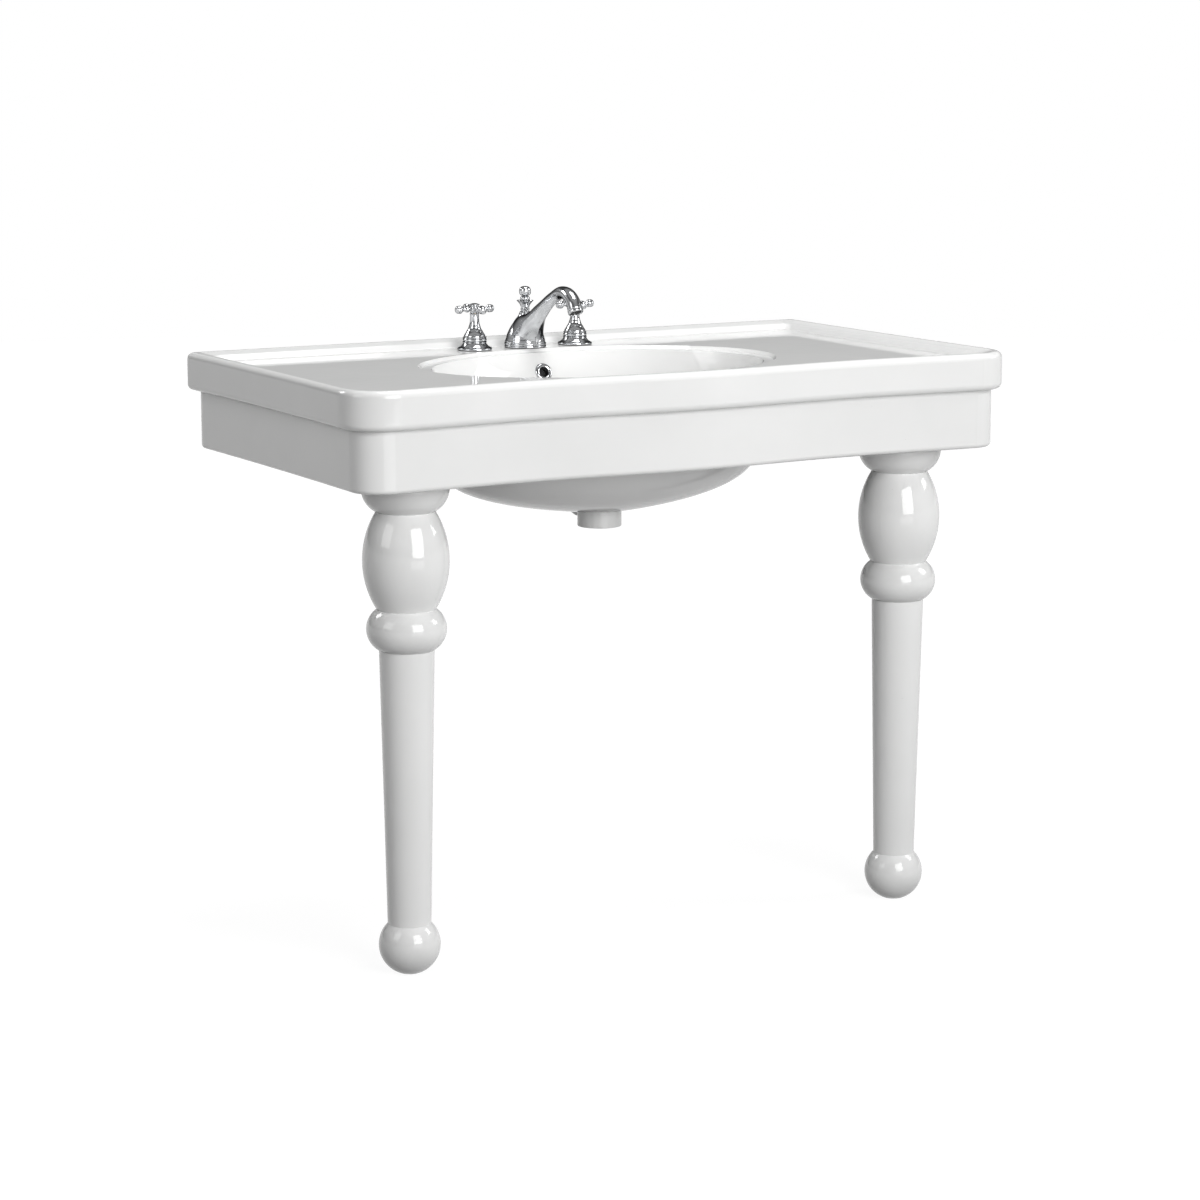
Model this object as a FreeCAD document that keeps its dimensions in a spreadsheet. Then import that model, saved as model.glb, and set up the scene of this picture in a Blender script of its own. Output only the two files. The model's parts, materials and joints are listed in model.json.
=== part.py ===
import FreeCAD, Part

import math
import os

import Sketcher

V = FreeCAD.Vector

# Console sink: a china basin with a rimmed deck and an oval bowl, on two turned china legs,
# with a three-hole tap set. Millimetres. X runs along the width, +Y towards the wall, +Z up.
# The origin is on the floor, under the middle of the basin's length and depth.

SIZES = {
    # plan of the basin
    "overall_depth": 625.6,
    "waist_half": 548.9,         # half the length at the narrowest place of the two hollow sides
    "waist_place": 168.1,        # how far behind the middle that place is
    "side_radius": 12000.0,
    "wave_rise": 6.5,            # the serpentine front swings this much each way
    "wave_length": 529.0,
    "corner_radius": 62.0,
    "rear_corner_radius": 14.0,
    # section of the basin
    "slab_thickness": 57.0,
    "crest_round": 10.0,
    "ledge_round": 9.0,
    "crest_width": 14.0,
    "rim_slope_width": 16.0,
    "rim_slope_drop": 4.5,
    "rim_bank_width": 8.0,
    "tray_depth": 13.6,
    "tray_corner": 17.0,
    "rim_inner_round": 6.0,
    "tray_cove": 5.0,
    "deck_wall": 14.0,
    "apron_depth": 89.2,
    "apron_inset": 15.5,
    "apron_wall": 12.0,
    "apron_round": 6.0,
    "apron_rear_corner": 30.0,
    "back_wall": 14.0,
    # oval bowl
    "tap_to_bowl": 44.5,         # from the row of taps to the bowl's back edge
    "lip_end_margin": 21.0,      # the lip is this much longer than the bowl at each end
    "lip_side_margin": 13.7,
    "lip_drop": 4.5,
    "lip_slope": 5.0,
    "ledge_fall": 1.0,
    "bowl_length": 540.0,
    "bowl_width": 387.0,
    "bowl_depth": 211.0,
    "bowl_floor": 36.0,          # radius of the level round floor at the outlet
    "bowl_wall": 10.0,
    "boss_radius": 34.0,
    "boss_drop": 27.0,
    "boss_round": 1.5,
    "outlet_radius": 22.5,
    # overflow
    "overflow_fall": 29.0,
    "overflow_radius": 13.2,
    "overflow_hole": 7.6,
    "overflow_flange": 4.0,
    "overflow_round": 6.0,
    "overflow_seat": 1.0,
    "overflow_clearing": 9.0,    # how far in front of its seat the wall is cleared for the ring
    "overflow_sleeve": 1.8,
    "overflow_sleeve_length": 8.0,
    "duct_width": 26.0,
    "duct_gap": 8.0,
    "duct_wall": 7.0,
    # wall fixing
    "wall_hole_spacing": 280.0,
    "wall_hole_radius": 7.0,
    "wall_hole_fall": 86.0,
    # legs
    "leg_inset": 123.9,          # from the waist of a hollow side in to the leg's axis
    "leg_setback": 124.2,
    "foot_flat": 17.0,
    "foot_height": 73.0,
    "foot_radius": 44.4,
    "shaft_length": 404.5,
    "shaft_foot_radius": 31.8,
    "shaft_top_radius": 40.0,
    "ring_height": 59.5,
    "ring_curve": 35.0,
    "neck_radius": 42.8,
    "barrel_height": 141.0,
    "barrel_curve": 135.0,
    "cup_height": 50.0,
    "cup_curve": 38.4,
    "cup_top_radius": 60.0,
    "leg_bore": 20.0,
    "leg_bore_top": 30.0,
    "foot_hole": 9.0,
    "leg_plate": 32.0,
    "leg_gasket": 2.0,
    "leg_gasket_radius": 38.0,
    "shelf_thickness": 15.0,
    "shelf_recess": 10.1,
    "shelf_length": 195.0,
    "shelf_width": 200.0,
    "leg_bolt_radius": 5.0,
    "leg_bolt_gap": 2.0,
    "leg_bolt_length": 36.0,
    "leg_bolt_head": 9.5,
    "leg_bolt_head_height": 6.5,
    "leg_insert_radius": 9.0,
    "leg_insert_length": 24.0,
    "leg_washer_radius": 15.0,
    "leg_washer_thickness": 2.0,
    # tap set on the deck
    "tap_setback": 73.8,
    "valve_spacing": 180.0,
    "tap_hole_radius": 17.0,
    "tap_gasket": 1.0,
    "valve_base_radius": 27.3,
    "valve_bead_radius": 17.6,
    "valve_bead_curve": 8.0,
    "valve_bead_height": 8.5,
    "valve_skirt_edge": 2.0,
    "valve_skirt_height": 12.0,
    "valve_skirt_curve": 20.0,
    "valve_bell_curve": 36.0,
    "valve_neck_radius": 6.9,
    "valve_height": 56.0,
    "valve_bore_height": 19.0,
    "handle_reach": 33.2,
    "handle_ball": 6.0,
    "handle_ball_length": 11.2,
    "handle_bead": 4.8,
    "handle_bead_length": 7.6,
    "handle_bead_reach": 13.0,
    "handle_arm_root": 1.0,      # how far the arms reach into the hub's wall from the stem's bore
    "handle_hub_radius": 7.6,
    "handle_hub_height": 13.0,
    "handle_hub_curve": 22.0,
    "handle_arm_radius": 2.9,
    "handle_gap": 0.5,
    "cap_radius": 8.2,
    "cap_height": 2.6,
    "cap_edge": 1.0,
    "cap_curve": 22.0,
    "stem_radius": 4.0,
    "stem_depth": 20.0,
    "valve_body_radius": 12.0,
    "valve_body_rise": 18.0,
    "valve_body_length": 62.0,
    "valve_chamber": 6.0,
    "valve_seat": 4.0,
    "valve_seat_radius": 2.5,
    "valve_tail_radius": 10.4,
    "valve_tail_length": 18.0,
    "locknut_radius": 21.0,
    "locknut_height": 9.0,
    "washer_radius": 20.5,
    "washer_thickness": 2.0,
    # spout
    "spout_base_radius": 33.0,
    "spout_base_height": 8.0,
    "spout_dome_radius": 31.0,
    "spout_dome_height": 53.0,
    "spout_dome_top": 9.5,
    "spout_dome_curve": 110.0,
    "spout_reach": 166.0,
    "spout_rise": 96.5,
    "spout_tube_radius": 10.0,
    "spout_wall": 3.0,
    "outlet_ring_radius": 11.9,
    "outlet_ring_length": 6.5,
    "outlet_bore": 8.4,
    "outlet_insert_length": 4.0,
    "base_groove": 0.9,
    "shank_radius": 14.0,
    "shank_length": 66.0,
    "shank_socket": 10.0,
    "water_way_radius": 4.0,
    "water_way_place": 9.0,
    "water_way_rise": 26.0,
    "crown_height": 20.0,
    "crown_neck_radius": 6.6,
    "crown_radius": 13.2,
    "crown_curve": 14.0,
    "crown_cup_radius": 9.0,
    "knob_radius": 9.2,
    "knob_centre": 18.6,
    "knob_bead": 4.7,
    "knob_bead_place": 3.4,
    "knob_bead_length": 9.0,
    "knob_neck_radius": 4.0,
    "rod_radius": 2.5,
    "rod_socket": 12.0,
    "rod_tail": 24.0,
    # supply under the deck
    "port_drop": 45.0,
    "tee_radius": 20.0,
    "tee_height": 18.0,
    "tee_groove": 2.5,
    "tee_groove_height": 8.0,
    "tee_nut_height": 8.0,
    "nipple_radius": 8.0,
    "nipple_reach": 27.0,
    "tube_radius": 5.0,
    "tube_wall": 1.0,
    "tube_seat": 6.0,
    "tube_nut_radius": 11.0,
    "tube_nut_length": 10.0,
    "port_radius": 3.5,
    # drain
    "drain_flange_radius": 31.5,
    "drain_flange_thickness": 3.0,
    "drain_tube_wall": 2.5,
    "drain_tube_step": 1.0,
    "drain_tube_length": 31.0,
    "drain_gasket": 1.0,
    "drain_shelf": 2.2,
    "drain_shelf_radius": 23.0,
    "guide_height": 6.0,
    "guide_place": 14.0,
    "guide_radius": 5.5,
    "guide_arm": 3.0,
    "stopper_radius": 21.0,
    "stopper_thickness": 4.0,
    "stopper_curve": 80.0,
    "stopper_lift": 8.0,
    "stopper_stem_radius": 3.0,
    "stopper_stem_start": 0.5,   # above the foot of the guide, clear of a waste tube's end
    "seal_thickness": 2.0,
    # clearances
    "fit_gap": 0.5,
    "seat_gap": 0.3,
    "running_gap": 0.05,
    "cut_spare": 1.0,            # how far the tool of a hole runs past the face it opens in
}

# Form of the bowl: its walls stay nearly upright, then sweep into the floor.
BOWL_FULLNESS = 8.0
BOWL_SWEEP = 0.9
END_DRAW = 0.02
SIDE_DRAW = 0.28
BOWL_RINGS = 13

# Spout arm, root to outlet: how far forward, how high and how thick, as shares of the spout's
# reach, rise and tube radius, and how many degrees it leans forward there.
ARM_SECTIONS = [
    (0.020, 0.100, 3.05, 0.0),
    (0.084, 0.270, 2.55, 14.0),
    (0.193, 0.450, 1.90, 34.0),
    (0.343, 0.625, 1.36, 50.0),
    (0.560, 0.870, 1.00, 60.0),
    (0.730, 0.972, 0.99, 81.0),
    (0.858, 0.944, 1.06, 109.0),
    (0.937, 0.850, 1.12, 134.0),
    (0.976, 0.736, 1.15, 150.0),
]

doc = FreeCAD.newDocument("console_sink")
sheet = doc.addObject("Spreadsheet::Sheet", "sizes")
for row, (alias, number) in enumerate(SIZES.items(), start=1):
    sheet.set("A%d" % row, alias)
    sheet.set("B%d" % row, str(number))
    sheet.setAlias("B%d" % row, alias)
doc.recompute()

nodes = {}
TOWARDS_WALL = FreeCAD.Rotation(V(1, 0, 0), -90)


# ---------------------------------------------------------------- sums of sizes

def split_sum(text):
    """The (factor, alias or None) pairs of a sum such as 'deck_top - 0.5*wall + 3'."""
    pairs = []
    sign = 1.0
    for word in text.split():
        if word in "+-":
            sign = 1.0 if word == "+" else -1.0
            continue
        factor, star, alias = word.partition("*")
        if star:
            pairs.append((sign * float(factor), alias))
        elif word[0].isdigit():
            pairs.append((sign * float(word), None))
        else:
            pairs.append((sign, word))
        sign = 1.0
    return pairs


def mm(text):
    """The length that a sum of sizes comes to."""
    return sum(factor * (sheet.get(alias) if alias else 1.0) for factor, alias in split_sum(text))


def bound(text):
    """The same sum as an expression on the sheet's cells."""
    return " + ".join("(%.9g)%s" % (factor, " * sizes." + alias if alias else "")
                      for factor, alias in split_sum(text))


# Heights, each a sum of sizes that stack up from the floor.
LEG_TOP = "foot_height + shaft_length + ring_height + barrel_height + cup_height"
SHELF = LEG_TOP + " + leg_gasket"
APRON_BOTTOM = SHELF + " - shelf_recess"
LEDGE = APRON_BOTTOM + " + apron_depth"
CREST = LEDGE + " + slab_thickness"
DECK = CREST + " - tray_depth"
DECK_UNDER = DECK + " - deck_wall"
BOWL_EDGE = DECK + " - lip_drop - ledge_fall"
BOWL_FLOOR = BOWL_EDGE + " - bowl_depth"
BOSS_FOOT = BOWL_FLOOR + " - bowl_wall - boss_drop"
DRAIN_SEAT = BOWL_FLOOR + " - drain_flange_thickness - drain_gasket"
FRONT = "-0.5*overall_depth"
BACK = "0.5*overall_depth"
LEG_PLACE = "leg_setback - 0.5*overall_depth"
LEG_SIDES = (("left", "leg_inset - waist_half"), ("right", "waist_half - leg_inset"))
TAP_PLACE = "0.5*overall_depth - tap_setback"
BOWL_PLACE = TAP_PLACE + " - tap_to_bowl - 0.5*bowl_width"
LIP_LENGTH = "bowl_length + 2*lip_end_margin"
LIP_WIDTH = "bowl_width + 2*lip_side_margin"
TAP_FLOOR = DECK + " + tap_gasket"
HUB_FLOOR = TAP_FLOOR + " + valve_height + handle_gap"
DOME_TOP = TAP_FLOOR + " + spout_dome_height"
KNOB_FOOT = DOME_TOP + " + 0.7*crown_height + seat_gap"
PORT = DECK_UNDER + " - port_drop"
STEM_FOOT = DECK + " - stem_depth"
DRAIN_FOOT = DRAIN_SEAT + " + drain_gasket - drain_tube_length"
DRAIN_SHELF = DRAIN_SEAT + " + drain_gasket + drain_flange_thickness - drain_shelf"
STOPPER_REST = DRAIN_SHELF + " + seat_gap + stopper_lift"


# ---------------------------------------------------------------- building blocks

def keep(name, thing):
    """Names a finished sub-part and lists it for the output."""
    thing.Label = name
    nodes[name] = thing
    return thing


def bind(thing, **sums):
    """Ties properties to sums of sizes; x, y and z place the thing."""
    places = {"x": "Placement.Base.x", "y": "Placement.Base.y", "z": "Placement.Base.z"}
    for name, text in sums.items():
        thing.setExpression(places.get(name, name), bound(text))
    return thing


def cylinder(name, radius, height, x="0", y="0", z="0"):
    return bind(doc.addObject("Part::Cylinder", name), Radius=radius, Height=height, x=x, y=y, z=z)


def hexagon(name, corner_radius, height, x="0", y="0", z="0"):
    prism = doc.addObject("Part::Prism", name)
    prism.Polygon = 6
    return bind(prism, Circumradius=corner_radius, Height=height, x=x, y=y, z=z)


def cut(name, base, tool):
    result = doc.addObject("Part::Cut", name)
    result.Base = base
    result.Tool = tool
    return result


def fuse(name, pieces):
    result = doc.addObject("Part::MultiFuse", name)
    result.Shapes = pieces
    return result


def group(name, pieces):
    """Like pieces that share one node."""
    result = doc.addObject("Part::Compound", name)
    result.Links = pieces
    return keep(name, result)


def tube(name, outer, inner, height, x="0", y="0", z="0"):
    """A plain ring or sleeve."""
    body = cylinder(name + "_outside", outer, height, x, y, z)
    bore = cylinder(name + "_bore", inner, height, x, y, z)
    return cut(name, body, bore)


def hex_nut(name, corner_radius, bore, height, x="0", y="0", z="0"):
    body = hexagon(name + "_hexagon", corner_radius, height, x, y, z)
    hole = cylinder(name + "_bore", bore, height, x, y, z)
    return cut(name, body, hole)


def arc_through(start, end, radius, turn):
    """The short arc between two points of a sketch; turn is 1 for anticlockwise."""
    chord = end - start
    rise = math.sqrt(radius ** 2 - (chord.Length / 2) ** 2)
    normal = V(-chord.y, chord.x, 0).normalize() * turn
    top = (start + end) * 0.5 + normal * (rise - radius)
    return Part.Arc(start, top, end) if turn > 0 else Part.Arc(end, top, start)


def drawn_profile(body, steps):
    """A closed sketch on the body's XZ plane. Each step is (radius, height), or (radius, height,
    curve, turn) for an arc that reaches that point; turn is 1 for anticlockwise. Every corner is
    tied to the sheet."""
    plane = next(f for f in body.Origin.OriginFeatures if f.Role == "XZ_Plane")
    sketch = body.newObject("Sketcher::SketchObject", body.Name + "_profile")
    sketch.AttachmentSupport = (plane, [""])
    sketch.MapMode = "FlatFace"
    corners = [V(mm(step[0]), mm(step[1]), 0) for step in steps]
    for index, step in enumerate(steps):
        start = corners[index - 1]
        end = corners[index]
        if len(step) == 4:
            sketch.addGeometry(arc_through(start, end, mm(step[2]), step[3]), False)
        else:
            sketch.addGeometry(Part.LineSegment(start, end), False)
    for index, step in enumerate(steps):
        after = (index + 1) % len(steps)
        end_of_this, start_of_next = edge_ends(steps, index, after)
        sketch.addConstraint(Sketcher.Constraint("Coincident", index, end_of_this, after, start_of_next))
        for kind, axis, text in (("DistanceX", -2, step[0]), ("DistanceY", -1, step[1])):
            if text == "0":
                sketch.addConstraint(Sketcher.Constraint("PointOnObject", index, end_of_this, axis))
                continue
            number = sketch.addConstraint(
                Sketcher.Constraint(kind, -1, 1, index, end_of_this, mm(text)))
            sketch.setExpression("Constraints[%d]" % number, bound(text))
        if len(step) == 4:
            number = sketch.addConstraint(Sketcher.Constraint("Radius", index, mm(step[2])))
            sketch.setExpression("Constraints[%d]" % number, bound(step[2]))
    return sketch


def edge_ends(steps, index, after):
    """Which end of this edge, and of the next, is their shared corner: an arc always runs
    anticlockwise in a sketch, so one drawn clockwise is met at its start."""
    this_end = 1 if len(steps[index]) == 4 and steps[index][3] < 0 else 2
    next_start = 2 if len(steps[after]) == 4 and steps[after][3] < 0 else 1
    return this_end, next_start


def turned(name, steps, x=None, y="0", z="0"):
    """A body turned about its own axis from a drawn profile; without x it is placed afterwards."""
    body = doc.addObject("PartDesign::Body", name)
    sketch = drawn_profile(body, steps)
    spin = body.newObject("PartDesign::Revolution", name + "_turning")
    spin.Profile = sketch
    spin.ReferenceAxis = (sketch, ["V_Axis"])
    spin.Angle = 360.0
    body.Tip = spin
    return bind(body, x=x, y=y, z=z) if x else body


def shaped(name, shape):
    """A sub-part, or a stage of one, whose form is worked out here from the sheet's sizes."""
    thing = doc.addObject("Part::Feature", name)
    thing.Shape = shape
    return thing


# ---------------------------------------------------------------- plan of the basin

def side_line(y, inset):
    """Half the basin's length at y, and its slope: a side is a very flat hollow arc."""
    bow = mm("side_radius")
    away = y - mm("waist_place")
    drop = math.sqrt(bow ** 2 - away ** 2)
    return mm("waist_half") - inset + bow - drop, away / drop


def front_line(x, inset):
    """The serpentine front at x, and its slope: forward in the middle and at the corners."""
    turn = 2 * math.pi / mm("wave_length")
    middle = mm(FRONT) + mm("wave_rise") + inset
    return middle - mm("wave_rise") * math.cos(turn * x), mm("wave_rise") * turn * math.sin(turn * x)


def front_corner(inset, radius):
    """Centre and tangent points of the corner arc between the front and a side."""
    x_touch = mm("waist_half") - radius
    y_touch = mm(FRONT) + radius
    for _ in range(40):
        half, lean = side_line(y_touch, inset)
        centre_x = half - radius / math.hypot(1, lean)
        front, slope = front_line(x_touch, inset)
        x_touch = centre_x + radius * slope / math.hypot(1, slope)
        centre_y = front + radius / math.hypot(1, slope)
        y_touch = centre_y - radius * lean / math.hypot(1, lean)
    return V(centre_x, centre_y, 0), V(x_touch, front_line(x_touch, inset)[0], 0), \
        V(side_line(y_touch, inset)[0], y_touch, 0)


def rear_corner(inset, back, radius):
    """Centre and tangent points of the corner arc between a side and the straight back."""
    y_touch = back - radius
    for _ in range(20):
        half, lean = side_line(y_touch, inset)
        y_touch = back - radius - radius * lean / math.hypot(1, lean)
    centre_x = half - radius / math.hypot(1, lean)
    return V(centre_x, back - radius, 0), V(half, y_touch, 0), V(centre_x, back, 0)


def corner_arc(centre, start, end):
    middle = (start - centre).normalize() + (end - centre).normalize()
    return Part.Arc(start, centre + middle.normalize() * (start - centre).Length, end)


def mirrored(point):
    return V(-point.x, point.y, point.z)


FRONT_POINTS = 17


def outline(inset, back_inset, front_radius, rear_radius, height):
    """The basin's plan, drawn in by an inset, as one closed wire at a height."""
    back = mm(BACK) - back_inset
    f_centre, f_start, f_end = front_corner(inset, front_radius)
    r_centre, r_start, r_end = rear_corner(inset, back, rear_radius)
    reach = f_start.x
    points = []
    for step in range(FRONT_POINTS):
        x = -reach + 2 * reach * step / (FRONT_POINTS - 1)
        points.append(V(x, front_line(x, inset)[0], 0))
    slope = front_line(reach, inset)[1]
    front = Part.BSplineCurve()
    front.interpolate(Points=points, InitialTangent=V(1, -slope, 0), FinalTangent=V(1, slope, 0))
    middle_y = (f_end.y + r_start.y) / 2
    side_middle = V(side_line(middle_y, inset)[0], middle_y, 0)
    right = [corner_arc(f_centre, f_start, f_end), Part.Arc(f_end, side_middle, r_start),
             corner_arc(r_centre, r_start, r_end)]
    left = [corner_arc(mirrored(r_centre), mirrored(r_end), mirrored(r_start)),
            Part.Arc(mirrored(r_start), mirrored(side_middle), mirrored(f_end)),
            corner_arc(mirrored(f_centre), mirrored(f_end), mirrored(f_start))]
    back_edge = Part.LineSegment(r_end, mirrored(r_end))
    edges = [front.toShape()] + [c.toShape() for c in right + [back_edge] + left]
    wire = Part.Wire(edges)
    wire.translate(V(0, 0, height))
    return wire


def raised(wire, height):
    return Part.Face(wire).extrude(V(0, 0, height))


def edges_at(shape, height):
    """The edges of a shape that lie flat at a height."""
    near = 1e-4
    return [e for e in shape.Edges
            if abs(e.BoundBox.ZMin - height) < near and abs(e.BoundBox.ZMax - height) < near]


def oval(length, width, height):
    """A closed oval wire about the bowl's centre."""
    centre = V(0, mm(BOWL_PLACE), height)
    return Part.Wire([Part.Ellipse(centre, length / 2, width / 2).toShape()])


# ---------------------------------------------------------------- basin

def slab():
    """The thick rimmed top, before the tray is sunk into it."""
    outer = outline(0, 0, mm("corner_radius"), mm("rear_corner_radius"), mm(LEDGE))
    block = raised(outer, mm("slab_thickness"))
    block = block.makeFillet(mm("crest_round"), edges_at(block, mm(CREST)))
    return block.makeFillet(mm("ledge_round"), edges_at(block, mm(LEDGE)))


def tray():
    """What is sunk out of the slab: an inward slope behind the crest, a bank, and a level deck."""
    rings = []
    inset = mm("crest_width")
    drops = [("0", "rim_slope_width"), ("rim_slope_drop", "rim_bank_width"), ("tray_depth", "0")]
    for drop, step in drops:
        front_radius = max(mm("corner_radius") - inset, mm("tray_corner"))
        rings.append(outline(inset, inset, front_radius, mm("tray_corner"), mm(CREST) - mm(drop)))
        inset += mm(step)
    sunk = Part.makeLoft(rings, True, True)
    sunk = sunk.makeFillet(mm("rim_inner_round"), edges_at(sunk, mm(CREST + " - rim_slope_drop")))
    return sunk.makeFillet(mm("tray_cove"), edges_at(sunk, mm(DECK)))


def apron():
    """The hollow skirt under the slab, open below, with its rounded lower edge."""
    radius = mm("corner_radius - apron_inset")
    skirt = outline(mm("apron_inset"), 0, radius, mm("apron_rear_corner"), mm(APRON_BOTTOM))
    block = raised(skirt, mm("apron_depth + ledge_round"))
    return block.makeFillet(mm("apron_round"), edges_at(block, mm(APRON_BOTTOM)))


def underside():
    """The space inside the skirt, up to the deck's lower face."""
    inset = mm("apron_inset + apron_wall")
    radius = mm("corner_radius") - inset
    inner = outline(inset, mm("back_wall"), radius, mm("tray_corner"), mm(APRON_BOTTOM) - 1)
    return raised(inner, mm(DECK_UNDER) - mm(APRON_BOTTOM) + 1)


def leg_shelves(skirt):
    """A cast shelf across each front corner of the skirt, which a leg is bolted up to."""
    shelves = []
    for side in (-1, 1):
        length = mm("shelf_length")
        outer_x = mm("waist_half")
        corner = V(outer_x - length if side > 0 else -outer_x, mm(FRONT), mm(SHELF))
        block = Part.makeBox(length, mm("shelf_width"), mm("shelf_thickness"), corner)
        shelves.append(block.common(skirt))
    return shelves


def bowl_ring(down):
    """Half length and half width of the bowl at a share of its depth."""
    sweep = (1 - down ** BOWL_FULLNESS) ** BOWL_SWEEP
    draw = 1 - (1 - down) ** 3
    floor = mm("bowl_floor")
    half_length = floor + (mm("0.5*bowl_length") - floor) * (1 - END_DRAW * draw) * sweep
    half_width = floor + (mm("0.5*bowl_width") - floor) * (1 - SIDE_DRAW * draw) * sweep
    return half_length, half_width


def even_depths(count):
    """Shares of the bowl's depth, spaced evenly along the section of an end wall."""
    fine = [step / 4000.0 for step in range(4001)]
    places = [(bowl_ring(down)[0], down * mm("bowl_depth")) for down in fine]
    walked = [0.0]
    for (x0, z0), (x1, z1) in zip(places, places[1:]):
        walked.append(walked[-1] + math.hypot(x1 - x0, z1 - z0))
    picked = []
    for number in range(count):
        goal = walked[-1] * number / (count - 1)
        picked.append(next(down for down, way in zip(fine, walked) if way >= goal - 1e-9))
    return picked


def bowl_ovals(grow, sink):
    """The bowl's ovals from its edge down; grow widens them and sink lowers the floor."""
    ovals = []
    for down in even_depths(BOWL_RINGS):
        half_length, half_width = bowl_ring(down)
        height = mm(BOWL_EDGE) - (mm("bowl_depth") + sink) * down
        ovals.append(oval(2 * half_length + 2 * grow, 2 * half_width + 2 * grow, height))
    return ovals


def bowl_shell():
    """The outside of the bowl, with the outlet boss under it."""
    shell = Part.makeLoft(bowl_ovals(mm("bowl_wall"), mm("bowl_wall")), True, False)
    centre = V(0, mm(BOWL_PLACE), mm(BOSS_FOOT))
    height = mm("boss_drop + 2*bowl_wall")
    boss = Part.makeCylinder(mm("boss_radius"), height - mm("bowl_wall"), centre)
    boss = boss.makeFillet(mm("boss_round"), edges_at(boss, mm(BOSS_FOOT)))
    return shell, boss


def bowl_hollow():
    """The inside of the bowl with the stepped lip round it."""
    basin_space = Part.makeLoft(bowl_ovals(0, 0), True, False)
    slope = 2 * mm("lip_slope")
    ledge = mm(DECK + " - lip_drop")
    rings = [oval(mm(LIP_LENGTH), mm(LIP_WIDTH), mm(DECK)),
             oval(mm(LIP_LENGTH) - slope, mm(LIP_WIDTH) - slope, ledge),
             oval(mm("bowl_length"), mm("bowl_width"), mm(BOWL_EDGE))]
    lip = Part.makeLoft(rings, True, True)
    return lip, basin_space


def back_line(first):
    """Points down the bowl's back wall and along its floor, with the outward direction at each.
    The first point lies that far under the bowl's edge."""
    start = first / mm("bowl_depth")
    shares = [start + (1 - start) * step / 24.0 for step in range(24)] + [1.0]
    spots = [V(0, mm(BOWL_PLACE) + bowl_ring(down)[1], mm(BOWL_EDGE) - down * mm("bowl_depth"))
             for down in shares]
    spots.append(V(0, mm(BOWL_PLACE + " + outlet_radius - cut_spare"), mm(BOWL_FLOOR)))
    line = []
    for index, spot in enumerate(spots):
        ahead = spots[min(index + 1, len(spots) - 1)] - spots[max(index - 1, 0)]
        outward = V(0, -ahead.z, ahead.y).normalize()
        line.append((spot, outward))
    return line


def duct_strip(near, far, width, first):
    """A strip of even thickness that follows the bowl's back wall down to the outlet."""
    line = back_line(first)
    inner = [spot + outward * near for spot, outward in line]
    outer = [spot + outward * far for spot, outward in line]
    loop = [p - V(width / 2, 0, 0) for p in inner + outer[::-1]]
    wire = Part.makePolygon(loop + loop[:1])
    return Part.Face(wire).extrude(V(width, 0, 0))


def overflow_frame():
    """Where the overflow ring sits: the wall's surface point and the way it faces."""
    point, outward = back_line(mm("overflow_fall"))[0]
    return point, outward * -1


def basin_casting():
    """The whole china casting, before the round holes are bored."""
    skirt = apron()
    shell, boss = bowl_shell()
    body = slab().cut(tray()).fuse(skirt).cut(underside())
    body = body.fuse([shell, boss] + leg_shelves(skirt))
    rib_top = mm("overflow_fall - overflow_radius - duct_wall")
    rib = duct_strip(mm("0.5*bowl_wall"), mm("bowl_wall + duct_gap + duct_wall"),
                     mm("duct_width + 2*duct_wall"), rib_top)
    lip, basin_space = bowl_hollow()
    body = body.fuse(rib).cut(lip).cut(basin_space)
    channel = duct_strip(mm("bowl_wall"), mm("bowl_wall + duct_gap"), mm("duct_width"),
                         mm("overflow_fall - overflow_radius"))
    return body.cut(channel).removeSplitter()


def make_basin():
    casting = shaped("basin_casting", basin_casting())
    holes = []
    under = DECK_UNDER + " - cut_spare"
    for number, x in enumerate(("-0.5*valve_spacing", "0", "0.5*valve_spacing")):
        holes.append(cylinder("tap_hole_%d" % number, "tap_hole_radius", "deck_wall + 2*cut_spare",
                              x, TAP_PLACE, under))
    holes.append(cylinder("outlet_hole", "outlet_radius", "boss_drop + bowl_wall + 2*cut_spare",
                          "0", BOWL_PLACE, BOSS_FOOT + " - cut_spare"))
    holes.append(cylinder("drain_recess", "drain_flange_radius + fit_gap",
                          "drain_flange_thickness + drain_gasket + 4*cut_spare",
                          "0", BOWL_PLACE, DRAIN_SEAT))
    for side, x in LEG_SIDES:
        holes.append(cylinder("leg_bolt_hole_" + side, "leg_bolt_radius + leg_bolt_gap",
                              "shelf_thickness + 2*cut_spare", x, LEG_PLACE, SHELF + " - cut_spare"))
    for number, x in enumerate(("-0.5*wall_hole_spacing", "0.5*wall_hole_spacing")):
        wall_hole = cylinder("wall_hole_%d" % number, "wall_hole_radius", "back_wall + 2*cut_spare",
                             x, BACK + " - back_wall - cut_spare", CREST + " - wall_hole_fall")
        wall_hole.Placement.Rotation = TOWARDS_WALL
        holes.append(wall_hole)
    point, facing = overflow_frame()
    sleeve = mm("overflow_hole + overflow_sleeve + running_gap")
    depth = mm("bowl_wall + 0.5*duct_gap")
    bore = Part.makeCylinder(sleeve, depth + 2 * mm("cut_spare"), point - facing * depth, facing)
    seat = Part.makeCylinder(mm("overflow_radius + fit_gap"), mm("overflow_clearing"),
                             point - facing * mm("overflow_seat"), facing)
    holes.append(shaped("overflow_bore", bore.fuse(seat)))
    return keep("basin", cut("basin", casting, fuse("basin_holes", holes)))


# ---------------------------------------------------------------- legs

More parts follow.
